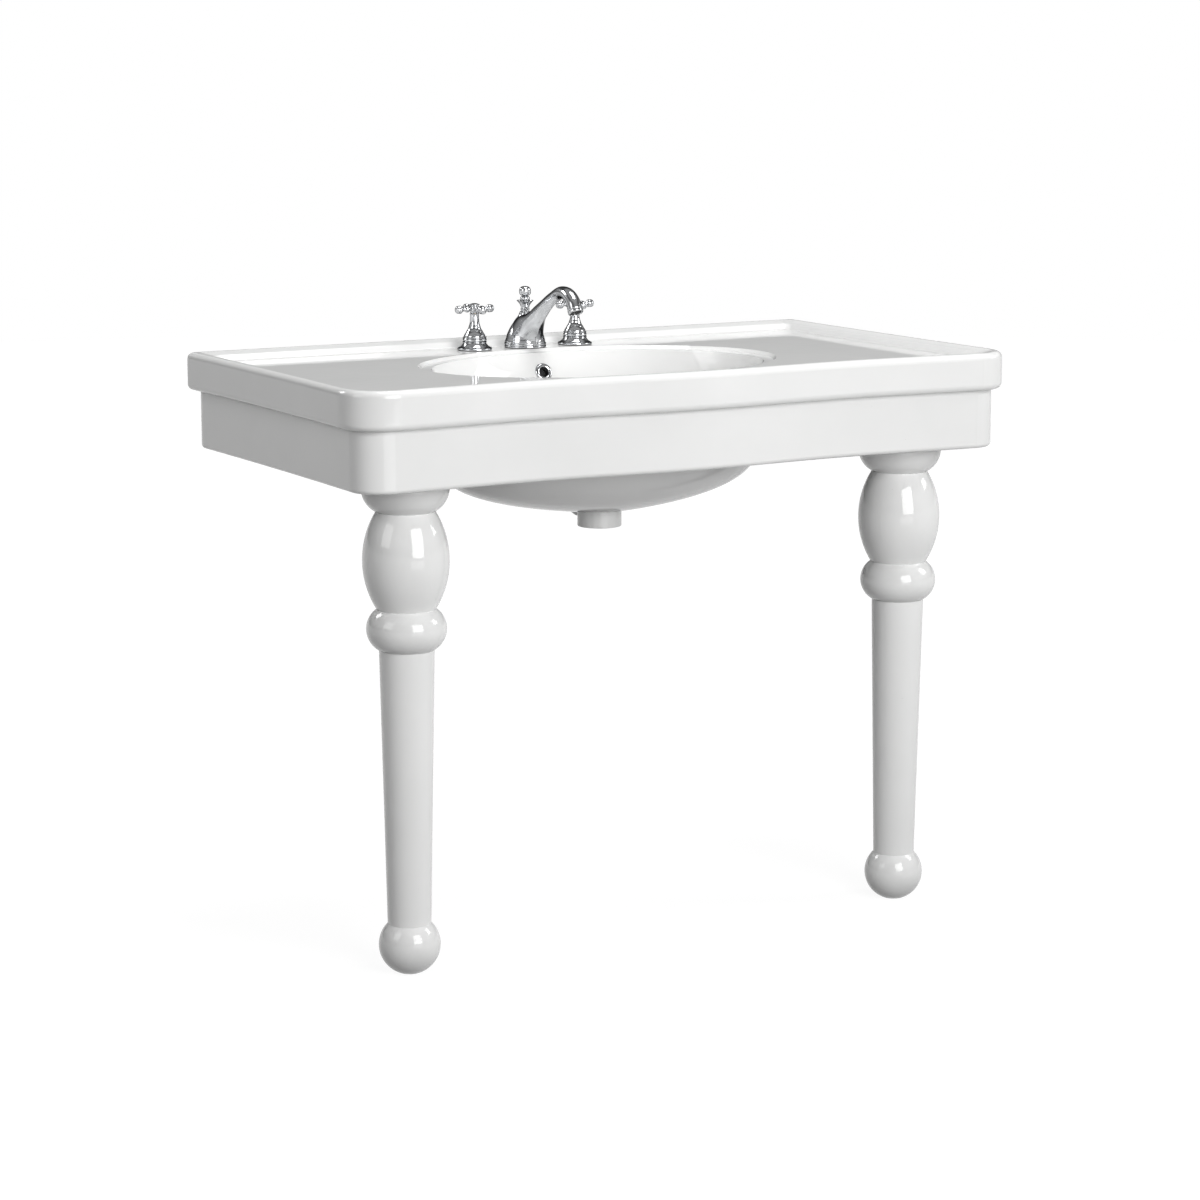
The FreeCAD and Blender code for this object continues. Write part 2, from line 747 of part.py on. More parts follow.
LEG_PROFILE = [
    ("foot_hole", "0"),
    ("foot_flat", "0"),
    ("shaft_foot_radius", "foot_height", "foot_radius", 1),
    ("shaft_top_radius", "foot_height + shaft_length"),
    ("neck_radius", "foot_height + shaft_length + ring_height", "ring_curve", 1),
    ("neck_radius", LEG_TOP + " - cup_height", "barrel_curve", 1),
    ("cup_top_radius", LEG_TOP, "cup_curve", 1),
    ("leg_insert_radius + running_gap", LEG_TOP),
    ("leg_insert_radius + running_gap", LEG_TOP + " - leg_insert_length"),
    ("leg_bolt_radius + fit_gap", LEG_TOP + " - leg_insert_length"),
    ("leg_bolt_radius + fit_gap", LEG_TOP + " - leg_plate"),
    ("leg_bore_top", LEG_TOP + " - leg_plate"),
    ("leg_bore_top", "foot_height + shaft_length + ring_height"),
    ("leg_bore", "foot_height"),
    ("foot_hole", "0.4*foot_height"),
]


def leg_bolt(side, x):
    """A hexagon-headed bolt whose head bears on the washer over the shelf."""
    head_foot = SHELF + " + shelf_thickness + leg_washer_thickness"
    head = hexagon("bolt_head_" + side, "leg_bolt_head", "leg_bolt_head_height", x, LEG_PLACE, head_foot)
    shank = cylinder("bolt_shank_" + side, "leg_bolt_radius", "leg_bolt_length", x, LEG_PLACE,
                     head_foot + " - leg_bolt_length")
    return fuse("bolt_" + side, [head, shank])


def make_legs():
    gaskets, washers, bolts, inserts = [], [], [], []
    for side, x in LEG_SIDES:
        keep("leg_" + side, turned("leg_" + side, LEG_PROFILE, x, LEG_PLACE))
        gaskets.append(tube("gasket_" + side, "leg_gasket_radius", "leg_insert_radius + fit_gap",
                            "leg_gasket", x, LEG_PLACE, LEG_TOP))
        washers.append(tube("washer_" + side, "leg_washer_radius", "leg_bolt_radius + fit_gap",
                            "leg_washer_thickness", x, LEG_PLACE, SHELF + " + shelf_thickness"))
        inserts.append(tube("insert_" + side, "leg_insert_radius", "leg_bolt_radius + running_gap",
                            "leg_insert_length", x, LEG_PLACE, LEG_TOP + " - leg_insert_length"))
        bolts.append(leg_bolt(side, x))
    group("leg_gaskets", gaskets)
    group("leg_washers", washers)
    group("leg_inserts", inserts)
    group("leg_bolts", bolts)


# ---------------------------------------------------------------- drain and overflow

TUBE_OUTER = "outlet_radius - fit_gap"
TUBE_INNER = TUBE_OUTER + " - drain_tube_wall"
UPPER_INNER = TUBE_INNER + " - drain_tube_step"
FLANGE_TOP = "drain_tube_length + drain_flange_thickness"


def make_drain():
    """Flange and tube in one, with a bar across that guides the stopper's stem."""
    flange = turned("drain_turning", [
        (TUBE_INNER, "0"),
        (TUBE_OUTER, "0"),
        (TUBE_OUTER, "drain_tube_length"),
        ("drain_flange_radius", "drain_tube_length"),
        ("drain_flange_radius", "drain_tube_length + 0.5*drain_flange_thickness"),
        ("drain_flange_radius - 0.5*drain_flange_thickness", FLANGE_TOP),
        ("drain_shelf_radius", FLANGE_TOP),
        ("drain_shelf_radius", FLANGE_TOP + " - drain_shelf"),
        (UPPER_INNER, FLANGE_TOP + " - drain_shelf"),
        (UPPER_INNER, "guide_place"),
        (TUBE_INNER, "guide_place"),
    ], "0", BOWL_PLACE, DRAIN_FOOT)
    guide_foot = DRAIN_FOOT + " + guide_place"
    hub = cylinder("guide_hub", "guide_radius", "guide_height", "0", BOWL_PLACE, guide_foot)
    bar = bind(doc.addObject("Part::Box", "guide_bar"), Width="guide_arm", Height="guide_height",
               Length="2*outlet_radius - 2*fit_gap - drain_tube_wall",
               x="fit_gap + 0.5*drain_tube_wall - outlet_radius",
               y=BOWL_PLACE + " - 0.5*guide_arm", z=guide_foot)
    bore = cylinder("guide_bore", "stopper_stem_radius + running_gap", "guide_height", "0", BOWL_PLACE,
                    guide_foot)
    inlet = cylinder("overflow_inlet", "port_radius", "outlet_radius", "0", BOWL_PLACE,
                     BOWL_FLOOR + " - bowl_wall - 0.5*duct_gap")
    inlet.Placement.Rotation = TOWARDS_WALL
    body = fuse("drain_body", [flange, hub, bar])
    keep("drain_flange", cut("drain_flange", body, fuse("drain_openings", [bore, inlet])))
    keep("drain_gasket", tube("drain_gasket", "drain_flange_radius - 2*fit_gap", "outlet_radius + fit_gap",
                              "drain_gasket", "0", BOWL_PLACE, DRAIN_SEAT))


def make_stopper():
    stem = ("drain_tube_length + drain_flange_thickness - drain_shelf + seat_gap + stopper_lift"
            " + seal_thickness - guide_place - stopper_stem_start")
    stopper = turned("stopper", [
        ("0", "0"),
        ("stopper_stem_radius", "0"),
        ("stopper_stem_radius", stem),
        ("stopper_radius", stem),
        ("stopper_radius", stem + " + 0.5*stopper_thickness"),
        ("0.1*stopper_radius", stem + " + stopper_thickness", "stopper_curve", 1),
        ("0", stem + " + stopper_thickness"),
    ], "0", BOWL_PLACE, DRAIN_FOOT + " + guide_place + stopper_stem_start")
    keep("stopper", stopper)
    keep("stopper_seal", tube("stopper_seal", "stopper_radius - fit_gap",
                              "stopper_stem_radius + running_gap", "seal_thickness", "0",
                              BOWL_PLACE, STOPPER_REST))


def make_overflow_ring():
    sleeve = "overflow_hole + overflow_sleeve"
    seat = "overflow_sleeve_length"
    ring = turned("overflow_ring", [
        ("overflow_hole", "0"),
        (sleeve, "0"),
        (sleeve, seat),
        ("overflow_radius", seat),
        ("overflow_radius", seat + " + 0.4*overflow_flange"),
        ("overflow_hole", seat + " + overflow_flange", "overflow_round", 1),
    ])
    point, facing = overflow_frame()
    depth = mm("overflow_seat + overflow_sleeve_length")
    ring.Placement = FreeCAD.Placement(point - facing * depth, FreeCAD.Rotation(V(0, 0, 1), facing))
    keep("overflow_ring", ring)


# ---------------------------------------------------------------- spout


def arm_path():
    """Centre, lean and radius of each section of the spout's arm."""
    path = []
    for ahead, up, thick, lean in ARM_SECTIONS:
        centre = V(0, mm(TAP_PLACE) - mm("spout_reach") * ahead, mm(TAP_FLOOR) + mm("spout_rise") * up)
        path.append((centre, FreeCAD.Rotation(V(1, 0, 0), lean), mm("spout_tube_radius") * thick))
    return path


def ring_across(centre, lean, radius):
    wire = Part.Wire([Part.Circle(V(0, 0, 0), V(0, 0, 1), radius).toShape()])
    wire.Placement = FreeCAD.Placement(centre, lean)
    return wire


def swept(path):
    """A solid that runs through every section of a path, kept upright in the YZ plane."""
    stride = sum((b[0] - a[0]).Length for a, b in zip(path, path[1:])) / (len(path) - 1)
    ends = [lean.multVec(V(0, 0, stride)) for _, lean, _ in (path[0], path[-1])]
    spine = Part.BSplineCurve()
    spine.interpolate(Points=[centre for centre, _, _ in path], InitialTangent=ends[0],
                      FinalTangent=ends[1])
    sweep = Part.BRepOffsetAPI.MakePipeShell(Part.Wire([spine.toShape()]))
    sweep.setBiNormalMode(V(1, 0, 0))
    for section in path:
        sweep.add(ring_across(*section), False, False)
    sweep.build()
    sweep.makeSolid()
    return sweep.shape()


def spout_way():
    """The water's way: up beside the lift rod, across into the arm, and out along it."""
    path = arm_path()
    inside = [(centre, lean, radius - mm("spout_wall")) for centre, lean, radius in path[3:]]
    channel = swept(inside)
    foot = V(0, mm(TAP_PLACE + " - water_way_place"), mm(TAP_FLOOR))
    top = foot + V(0, 0, mm("water_way_rise"))
    bore = mm("water_way_radius")
    riser = Part.makeCylinder(bore, mm("water_way_rise"), foot, V(0, 0, 1))
    across = inside[0][0] - top
    link = Part.makeCylinder(bore, across.Length, top, across)
    return channel.fuse([riser, link, Part.makeSphere(bore, top)])


def make_spout():
    groove = "spout_base_radius - base_groove"
    dome = turned("spout_dome", [
        ("0", "0"),
        ("spout_base_radius", "0"),
        ("spout_base_radius", "0.25*spout_base_height"),
        (groove, "0.35*spout_base_height"),
        (groove, "0.45*spout_base_height"),
        ("spout_base_radius", "0.55*spout_base_height"),
        ("spout_base_radius", "0.85*spout_base_height"),
        ("spout_dome_radius", "spout_base_height"),
        ("spout_dome_top", "spout_dome_height", "spout_dome_curve", 1),
        ("0", "spout_dome_height"),
    ], "0", TAP_PLACE, TAP_FLOOR)
    body = fuse("spout_body", [dome, shaped("spout_arm", swept(arm_path()))])
    foot = TAP_FLOOR + " - cut_spare"
    rod_bore = cylinder("rod_bore", "rod_radius + fit_gap", "spout_dome_height + 2*cut_spare",
                        "0", TAP_PLACE, foot)
    socket = cylinder("shank_socket", "shank_radius + running_gap", "shank_socket + cut_spare",
                      "0", TAP_PLACE, foot)
    openings = fuse("spout_openings", [rod_bore, socket, shaped("spout_way", spout_way())])
    keep("spout", cut("spout", body, openings))
    keep("spout_gasket", tube("spout_gasket", "spout_base_radius - 1", "tap_hole_radius + fit_gap",
                              "tap_gasket", "0", TAP_PLACE, DECK))


def make_outlet():
    """The ring round the spout's outlet and the pierced disc set inside it."""
    centre, turn, _ = arm_path()[-1]
    ring = turned("outlet_ring", [
        ("outlet_bore", "0"),
        ("outlet_ring_radius", "0"),
        ("outlet_ring_radius", "0.7*outlet_ring_length"),
        ("outlet_ring_radius - 0.2*outlet_ring_length", "outlet_ring_length"),
        ("outlet_bore", "outlet_ring_length"),
    ])
    ring.Placement = FreeCAD.Placement(centre, turn)
    keep("outlet_ring", ring)
    disc = cylinder("insert_disc", "outlet_bore - running_gap", "outlet_insert_length")
    holes = [cylinder("insert_hole_0", "0.16*outlet_bore", "outlet_insert_length")]
    for number in range(6):
        angle = math.radians(60 * number)
        hole = cylinder("insert_hole_%d" % (number + 1), "0.16*outlet_bore", "outlet_insert_length",
                        "%.6f*outlet_bore" % (0.58 * math.cos(angle)),
                        "%.6f*outlet_bore" % (0.58 * math.sin(angle)))
        holes.append(hole)
    insert = cut("outlet_insert", disc, fuse("insert_holes", holes))
    insert.Placement = FreeCAD.Placement(centre, turn)
    keep("outlet_insert", insert)


def make_crown():
    """The flared finial through which the lift rod slides."""
    cup_floor = "0.7*crown_height"
    keep("rod_crown", turned("rod_crown", [
        ("rod_radius + running_gap", "0"),
        ("1.25*crown_neck_radius", "0"),
        ("crown_neck_radius", "0.15*crown_height"),
        ("crown_neck_radius", "0.35*crown_height"),
        ("crown_radius", "0.92*crown_height", "crown_curve", -1),
        ("crown_radius", "crown_height"),
        ("crown_cup_radius", "crown_height"),
        ("0.9*crown_cup_radius", cup_floor),
        ("rod_radius + running_gap", cup_floor),
    ], "0", TAP_PLACE, DOME_TOP))


def make_lift():
    stalk = turned("knob_stalk", [
        ("0", "0"),
        ("knob_neck_radius", "0"),
        ("knob_neck_radius", "knob_bead_place"),
        ("knob_neck_radius", "knob_bead_place + knob_bead_length", "knob_bead", 1),
        ("knob_neck_radius", "knob_centre - 0.5*knob_radius"),
        ("0", "knob_centre - 0.5*knob_radius"),
    ], "0", TAP_PLACE, KNOB_FOOT)
    ball = bind(doc.addObject("Part::Sphere", "knob_ball"), Radius="knob_radius", y=TAP_PLACE,
                z=KNOB_FOOT + " + knob_centre")
    socket = cylinder("knob_socket", "rod_radius + running_gap", "rod_socket", "0", TAP_PLACE, KNOB_FOOT)
    keep("lift_knob", cut("lift_knob", fuse("knob_body", [stalk, ball]), socket))
    length = ("rod_socket + seat_gap + 0.7*crown_height + spout_dome_height + tap_gasket + deck_wall"
              " + shank_length + rod_tail")
    keep("lift_rod", cylinder("lift_rod", "rod_radius", length, "0", TAP_PLACE,
                              DECK_UNDER + " - shank_length - rod_tail"))


# ---------------------------------------------------------------- supply under the deck

WASHER_FOOT = DECK_UNDER + " - washer_thickness"
LOCKNUT_FOOT = WASHER_FOOT + " - locknut_height"


def clamp_set(name, radius, x):
    """The washer and the hexagon locknut that hold a tap up to the deck from below."""
    keep(name + "_washer", tube(name + "_washer", "washer_radius", radius + " + fit_gap",
                                "washer_thickness", x, TAP_PLACE, WASHER_FOOT))
    keep(name + "_locknut", hex_nut(name + "_locknut", "locknut_radius", radius + " + running_gap",
                                    "locknut_height", x, TAP_PLACE, LOCKNUT_FOOT))


def along_x(name, radius, length, start):
    """A cylinder along +X at the height of the side ports."""
    bar = cylinder(name, radius, length, start, TAP_PLACE, PORT)
    bar.Placement.Rotation = FreeCAD.Rotation(V(0, 1, 0), 90)
    return bar


def make_shank():
    """The threaded shank, drilled for the lift rod and, beside it, for the water."""
    foot = DECK_UNDER + " - shank_length"
    height = "shank_length + deck_wall + tap_gasket + shank_socket"
    bar = cylinder("shank_bar", "shank_radius", height, "0", TAP_PLACE, foot)
    rod_way = cylinder("shank_rod_way", "rod_radius + fit_gap", height, "0", TAP_PLACE, foot)
    place = TAP_PLACE + " - water_way_place"
    riser = cylinder("shank_riser", "water_way_radius",
                     "port_drop + deck_wall + tap_gasket + shank_socket", "0", place, PORT)
    cross = along_x("shank_cross", "port_radius", "2*shank_radius", "-1*shank_radius")
    bind(cross, y=place)
    keep("spout_shank", cut("spout_shank", bar, fuse("shank_ways", [rod_way, riser, cross])))
    clamp_set("spout", "shank_radius", "0")


def make_tee():
    """A collar round the shank with a branch to each side, held between two nuts."""
    foot = PORT + " - 0.5*tee_height"
    collar = cylinder("tee_collar", "tee_radius", "tee_height", "0", TAP_PLACE, foot)
    branch = along_x("tee_branch", "nipple_radius", "2*nipple_reach", "-1*nipple_reach")
    bore = cylinder("tee_bore", "shank_radius + running_gap", "tee_height", "0", TAP_PLACE, foot)
    groove = cylinder("tee_groove", "shank_radius + tee_groove", "tee_groove_height", "0", TAP_PLACE,
                      PORT + " - 0.5*tee_groove_height")
    way = along_x("tee_way", "port_radius", "2*nipple_reach", "-1*nipple_reach")
    left = along_x("tee_seat_left", "tube_radius + running_gap", "tube_seat", "-1*nipple_reach")
    right = along_x("tee_seat_right", "tube_radius + running_gap", "tube_seat", "nipple_reach - tube_seat")
    openings = fuse("tee_openings", [bore, groove, way, left, right])
    keep("supply_tee", cut("supply_tee", fuse("tee_body", [collar, branch]), openings))
    nuts = [hex_nut("tee_nut_" + place, "locknut_radius", "shank_radius + running_gap",
                    "tee_nut_height", "0", TAP_PLACE, height)
            for place, height in (("above", PORT + " + 0.5*tee_height"),
                                  ("below", foot + " - tee_nut_height"))]
    group("tee_nuts", nuts)


def make_tubes():
    nuts = []
    gap = "0.5*valve_spacing - 2*nipple_reach"
    for side, start in (("left", "nipple_reach - 0.5*valve_spacing"), ("right", "nipple_reach")):
        outside = along_x("tube_outside_" + side, "tube_radius", gap + " + 2*tube_seat",
                          start + " - tube_seat")
        inside = along_x("tube_inside_" + side, "tube_radius - tube_wall", gap + " + 2*tube_seat",
                         start + " - tube_seat")
        keep("supply_tube_" + side, cut("supply_tube_" + side, outside, inside))
        for end, place in (("near", start), ("far", start + " + " + gap + " - tube_nut_length")):
            nut = hexagon("nut_%s_%s" % (side, end), "tube_nut_radius", "tube_nut_length", place,
                          TAP_PLACE, PORT)
            nut.Placement.Rotation = FreeCAD.Rotation(V(0, 1, 0), 90)
            hole = along_x("nut_hole_%s_%s" % (side, end), "tube_radius + running_gap",
                           "tube_nut_length", place)
            nuts.append(cut("tube_nut_%s_%s" % (side, end), nut, hole))
    group("tube_nuts", nuts)


# ---------------------------------------------------------------- valves and handles

COVER_PROFILE = [
    ("valve_body_radius + running_gap", "0"),
    ("valve_base_radius", "0"),
    ("valve_base_radius", "valve_skirt_edge"),
    ("valve_bead_radius", "valve_skirt_height", "valve_skirt_curve", -1),
    ("valve_bead_radius", "valve_skirt_height + valve_bead_height", "valve_bead_curve", 1),
    ("0.95*valve_bead_radius", "valve_skirt_height + valve_bead_height"),
    ("1.08*valve_neck_radius", "0.75*valve_height", "valve_bell_curve", -1),
    ("valve_neck_radius", "valve_height"),
    ("stem_radius + fit_gap", "valve_height"),
    ("stem_radius + fit_gap", "valve_bore_height"),
    ("valve_body_radius + running_gap", "valve_bore_height"),
]
CAP_PROFILE = [
    ("0", "0"),
    ("cap_radius", "0"),
    ("cap_radius", "cap_edge"),
    ("0.1*cap_radius", "cap_height", "cap_curve", 1),
    ("0", "cap_height"),
]
ARM_START = "stem_radius + handle_arm_root"
BALL_START = "handle_reach - handle_ball_length - " + ARM_START.replace("+", "-")
BEAD_START = "handle_bead_reach - 0.5*handle_bead_length - " + ARM_START.replace("+", "-")
ARM_PROFILE = [
    ("0", "0"),
    ("handle_arm_radius", "0"),
    ("handle_arm_radius", BEAD_START),
    ("handle_arm_radius", BEAD_START + " + handle_bead_length", "handle_bead", 1),
    ("handle_arm_radius", BALL_START),
    ("0.1*handle_ball", BALL_START + " + handle_ball_length", "handle_ball", 1),
    ("0", BALL_START + " + handle_ball_length"),
]
HUB_PROFILE = [
    ("0", "0"),
    ("0.85*handle_hub_radius", "0"),
    ("0.85*handle_hub_radius", "handle_hub_height", "handle_hub_curve", 1),
    ("0", "handle_hub_height"),
]


def make_valve_body(side, x, branch_start):
    """Upright body with an inlet tail below and a side branch that faces the spout."""
    body_foot = DECK_UNDER + " - valve_body_length"
    rise = "valve_body_length + deck_wall + tap_gasket + valve_body_rise"
    barrel = cylinder("valve_barrel_" + side, "valve_body_radius", rise, x, TAP_PLACE, body_foot)
    tail = cylinder("valve_tail_" + side, "valve_tail_radius", "valve_tail_length", x, TAP_PLACE,
                    body_foot + " - valve_tail_length")
    branch = along_x("valve_branch_" + side, "nipple_radius", "nipple_reach", branch_start)
    floor = STEM_FOOT + " - running_gap"
    stem_way = cylinder("stem_way_" + side, "stem_radius + running_gap",
                        "stem_depth + running_gap + tap_gasket + valve_body_rise", x, TAP_PLACE, floor)
    seat = cylinder("valve_seat_" + side, "valve_seat_radius", "valve_seat", x, TAP_PLACE,
                    floor + " - valve_seat")
    chamber_rise = ("valve_tail_length + valve_body_length + deck_wall - stem_depth - running_gap"
                    " - valve_seat")
    chamber = cylinder("valve_chamber_" + side, "valve_chamber", chamber_rise, x, TAP_PLACE,
                       body_foot + " - valve_tail_length")
    way = along_x("valve_way_" + side, "port_radius", "nipple_reach", branch_start)
    tube_start = branch_start if side == "right" else branch_start + " + nipple_reach - tube_seat"
    socket = along_x("valve_socket_" + side, "tube_radius + running_gap", "tube_seat", tube_start)
    openings = fuse("valve_openings_" + side, [stem_way, seat, chamber, way, socket])
    body = fuse("valve_solid_" + side, [barrel, tail, branch])
    keep("valve_body_" + side, cut("valve_body_" + side, body, openings))


def make_handle(side, x):
    """Four arms with a bead and a ball each, on a hub pierced for the stem."""
    pieces = [turned("hub_" + side, HUB_PROFILE, x, TAP_PLACE, HUB_FLOOR)]
    hub_middle = V(mm(x), mm(TAP_PLACE), mm(HUB_FLOOR + " + 0.5*handle_hub_height"))
    for number in range(4):
        outward = V(math.cos(number * math.pi / 2), math.sin(number * math.pi / 2), 0)
        arm = turned("arm_%s_%d" % (side, number), ARM_PROFILE)
        root = hub_middle + outward * mm("stem_radius + handle_arm_root")
        arm.Placement = FreeCAD.Placement(root, FreeCAD.Rotation(V(0, 0, 1), outward))
        pieces.append(arm)
    bore = cylinder("handle_bore_" + side, "stem_radius + running_gap", "handle_hub_height", x,
                    TAP_PLACE, HUB_FLOOR)
    keep("handle_" + side, cut("handle_" + side, fuse("handle_body_" + side, pieces), bore))


def make_valves():
    sides = (("left", "-0.5*valve_spacing", "-0.5*valve_spacing"),
             ("right", "0.5*valve_spacing", "0.5*valve_spacing - nipple_reach"))
    for side, x, branch_start in sides:
        make_valve_body(side, x, branch_start)
        clamp_set("valve_" + side, "valve_body_radius", x)
        keep("valve_gasket_" + side, tube("valve_gasket_" + side, "valve_base_radius - 1",
                                          "tap_hole_radius + fit_gap", "tap_gasket", x, TAP_PLACE, DECK))
        keep("valve_cover_" + side, turned("valve_cover_" + side, COVER_PROFILE, x, TAP_PLACE, TAP_FLOOR))
        height = "stem_depth + tap_gasket + valve_height + handle_gap + handle_hub_height"
        keep("stem_" + side, cylinder("stem_" + side, "stem_radius", height, x, TAP_PLACE, STEM_FOOT))
        make_handle(side, x)
        keep("handle_cap_" + side, turned("handle_cap_" + side, CAP_PROFILE, x, TAP_PLACE,
                                          HUB_FLOOR + " + handle_hub_height"))


make_basin()
make_legs()
make_drain()
make_stopper()
make_overflow_ring()
make_spout()
make_outlet()
make_crown()
make_lift()
make_shank()
make_tee()
make_tubes()
make_valves()

# ---------------------------------------------------------------- output


def check(thing):
    """Stops when an object failed or its shape isn't sound."""
    if any(word in thing.State for word in ("Invalid", "Error")):
        raise RuntimeError("%s failed: %s" % (thing.Name, thing.State))


def write_all():
    doc.recompute()
    for thing in doc.Objects:
        check(thing)
    for name, thing in nodes.items():
        if thing.Shape.isNull() or not thing.Shape.isValid():
            raise RuntimeError(name + " has no sound shape")
    os.makedirs("parts", exist_ok=True)
    for name, thing in nodes.items():
        thing.Shape.exportStep("parts/%s.step" % name)
        box = thing.Shape.BoundBox
        print("%-20s %d solid(s) %9.1f mm3  x %.1f..%.1f y %.1f..%.1f z %.1f..%.1f" % (
            name, len(thing.Shape.Solids), thing.Shape.Volume, box.XMin, box.XMax,
            box.YMin, box.YMax, box.ZMin, box.ZMax))


write_all()
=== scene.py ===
# %% [markdown]
# # A console sink on two turned china legs
#
# The real object is a heavy glazed china basin with a rimmed deck, a serpentine front and an
# oval bowl. It hangs on a wall and stands on two china legs turned like balusters. A chrome
# tap set with two cross handles and a lift knob stands on the deck.
#
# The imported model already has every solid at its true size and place. It could be rebuilt
# here from nothing, but then the two would drift apart, so it is loaded as a fixed frame and
# only finishes and finer surfaces are added to it.

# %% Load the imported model
import json
import math

import bpy
import numpy as np
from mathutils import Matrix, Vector


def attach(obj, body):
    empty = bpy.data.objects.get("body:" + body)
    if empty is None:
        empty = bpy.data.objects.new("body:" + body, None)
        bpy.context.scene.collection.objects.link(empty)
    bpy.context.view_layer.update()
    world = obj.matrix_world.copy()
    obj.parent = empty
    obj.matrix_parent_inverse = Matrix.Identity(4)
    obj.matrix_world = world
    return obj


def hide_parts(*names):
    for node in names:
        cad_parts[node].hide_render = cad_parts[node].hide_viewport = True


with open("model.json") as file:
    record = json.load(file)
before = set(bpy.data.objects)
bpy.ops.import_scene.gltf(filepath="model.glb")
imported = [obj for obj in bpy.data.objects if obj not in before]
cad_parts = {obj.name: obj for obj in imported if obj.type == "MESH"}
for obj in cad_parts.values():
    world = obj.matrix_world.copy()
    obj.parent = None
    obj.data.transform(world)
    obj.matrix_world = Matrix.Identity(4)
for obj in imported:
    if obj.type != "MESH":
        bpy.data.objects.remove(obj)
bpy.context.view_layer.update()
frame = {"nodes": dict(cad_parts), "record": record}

nodes = frame["nodes"]

# %% [markdown]
# ## The camera
#
# A camera can be set by eye, or found by fitting known points of the object to their places
# in a photograph. The second way was used: the numbers below are that fit. It is a long lens
# about five metres away, a little above the rim, looking down by ten degrees.

# %% Place the camera
camera_data = bpy.data.cameras.new("studio_camera")
camera_data.sensor_width = 36.0
camera_data.lens = 102.044
camera_data.clip_start = 0.1
camera_data.clip_end = 60.0
camera = bpy.data.objects.new("studio_camera", camera_data)
camera.location = (-2.5468, -4.4895, 1.4049)
camera.rotation_euler = (math.radians(79.87), 0.0, math.radians(-29.57))
bpy.context.scene.collection.objects.link(camera)
bpy.context.scene.camera = camera
print("camera", tuple(camera.location), "lens", camera_data.lens)

# %% [markdown]
# ## Soft boxes
#
# White china shows its form through broad, soft shading and small bright patches where a
# lamp is mirrored in the glaze. Point lamps would give hard spots. Large area lamps give
# both at once, and each patch on the ball feet tells which way its lamp stands. A lamp's
# power is pi times its area times its radiance, so that its brightness is the same at any
# size.

# %% Hang the soft boxes round the sink
AIM = Vector((0.0, 0.0, 0.6))


def soft_box(name, towards, distance, width, height, radiance):
    """An area lamp at a distance in a direction, turned to face the sink."""
    data = bpy.data.lights.new(name, "AREA")
    data.shape = "RECTANGLE"
    data.size = width
    data.size_y = height
    data.energy = math.pi * width * height * radiance
    lamp = bpy.data.objects.new(name, data)
    direction = Vector(towards).normalized()
    lamp.location = AIM + direction * distance
    lamp.rotation_mode = "QUATERNION"
    lamp.rotation_quaternion = (-direction).to_track_quat("-Z", "Y")
    lamp.visible_camera = False
    bpy.context.scene.collection.objects.link(lamp)
    return lamp


lamps = [
    soft_box("front_box", (0.000, -0.955, 0.300), 3.2, 1.7, 1.9, 6.9),
    soft_box("low_box", (-0.060, -0.995, -0.120), 3.0, 1.8, 0.5, 1.6),
    soft_box("left_box", (-0.912, -0.128, 0.391), 3.2, 1.3, 1.5, 2.5),
    soft_box("back_box", (-0.481, 0.694, 0.533), 3.2, 0.8, 0.8, 7.0),
    soft_box("right_box", (0.825, -0.336, 0.453), 3.2, 0.9, 1.1, 7.5),
    soft_box("top_box", (0.100, -0.020, 0.990), 2.8, 1.6, 1.2, 7.2),
]
print("lamps:", [lamp.name for lamp in lamps])

# %% [markdown]
# ## The room
#
# The sink stands on a white sweep. What the camera sees past the object is plain white. The
# room that lights the object is a dim grey, because a bright white room all round would wash
# the form out. Polished metal and glaze mirror the white sweep near the horizon and the
# room above it, in bands of dim and bright, which is why chrome is never one grey. One world
# shader does this:
# it asks which kind of ray is looking, and from what height.


# %% Small helpers for node trees
def add(tree, kind, values=None, **settings):
    """Adds a node. Settings are its own properties; values fill or feed its inputs."""
    made = tree.nodes.new(kind)
    for key, value in settings.items():
        setattr(made, key, value)
    for key, value in (values or {}).items():
        if isinstance(value, bpy.types.NodeSocket):
            tree.links.new(value, made.inputs[key])
        else:
            made.inputs[key].default_value = value
    return made


def shades(ramp_node, stops):
    """Sets the stops of a colour ramp to (place, grey) pairs."""
    ramp = ramp_node.color_ramp
    while len(ramp.elements) > 1:
        ramp.elements.remove(ramp.elements[-1])
    for index, (place, grey) in enumerate(stops):
        stop = ramp.elements[0] if index == 0 else ramp.elements.new(place)
        stop.position = place
        stop.color = (grey, grey, grey, 1.0)
    return ramp_node


print("helpers ready")

# %% Light the room
ROOM_LEVEL = 0.07
world = bpy.data.worlds.new("studio_room")
bpy.context.scene.world = world
world.use_nodes = True
tree = world.node_tree
tree.nodes.clear()
rays = add(tree, "ShaderNodeLightPath")
where = add(tree, "ShaderNodeTexCoord")
height = add(tree, "ShaderNodeSeparateXYZ", {0: where.outputs["Generated"]})
mirrored = shades(
    add(tree, "ShaderNodeValToRGB", {"Fac": height.outputs["Z"]}),
    [(0.0, 1.0), (0.02, 0.9), (0.06, 0.2), (0.14, 0.3), (0.24, 0.4), (0.36, 0.6),
     (0.48, 0.14), (0.66, 0.1), (0.8, 0.45), (1.0, 0.2)],
)
shiny = add(tree, "ShaderNodeMath", {0: rays.outputs["Is Glossy Ray"],
                                     1: rays.outputs["Is Transmission Ray"]}, operation="MAXIMUM")
room = (ROOM_LEVEL, ROOM_LEVEL, ROOM_LEVEL, 1.0)
seen = add(tree, "ShaderNodeMix", {"Factor": shiny.outputs[0], 6: room, 7: mirrored.outputs["Color"]},
           data_type="RGBA")
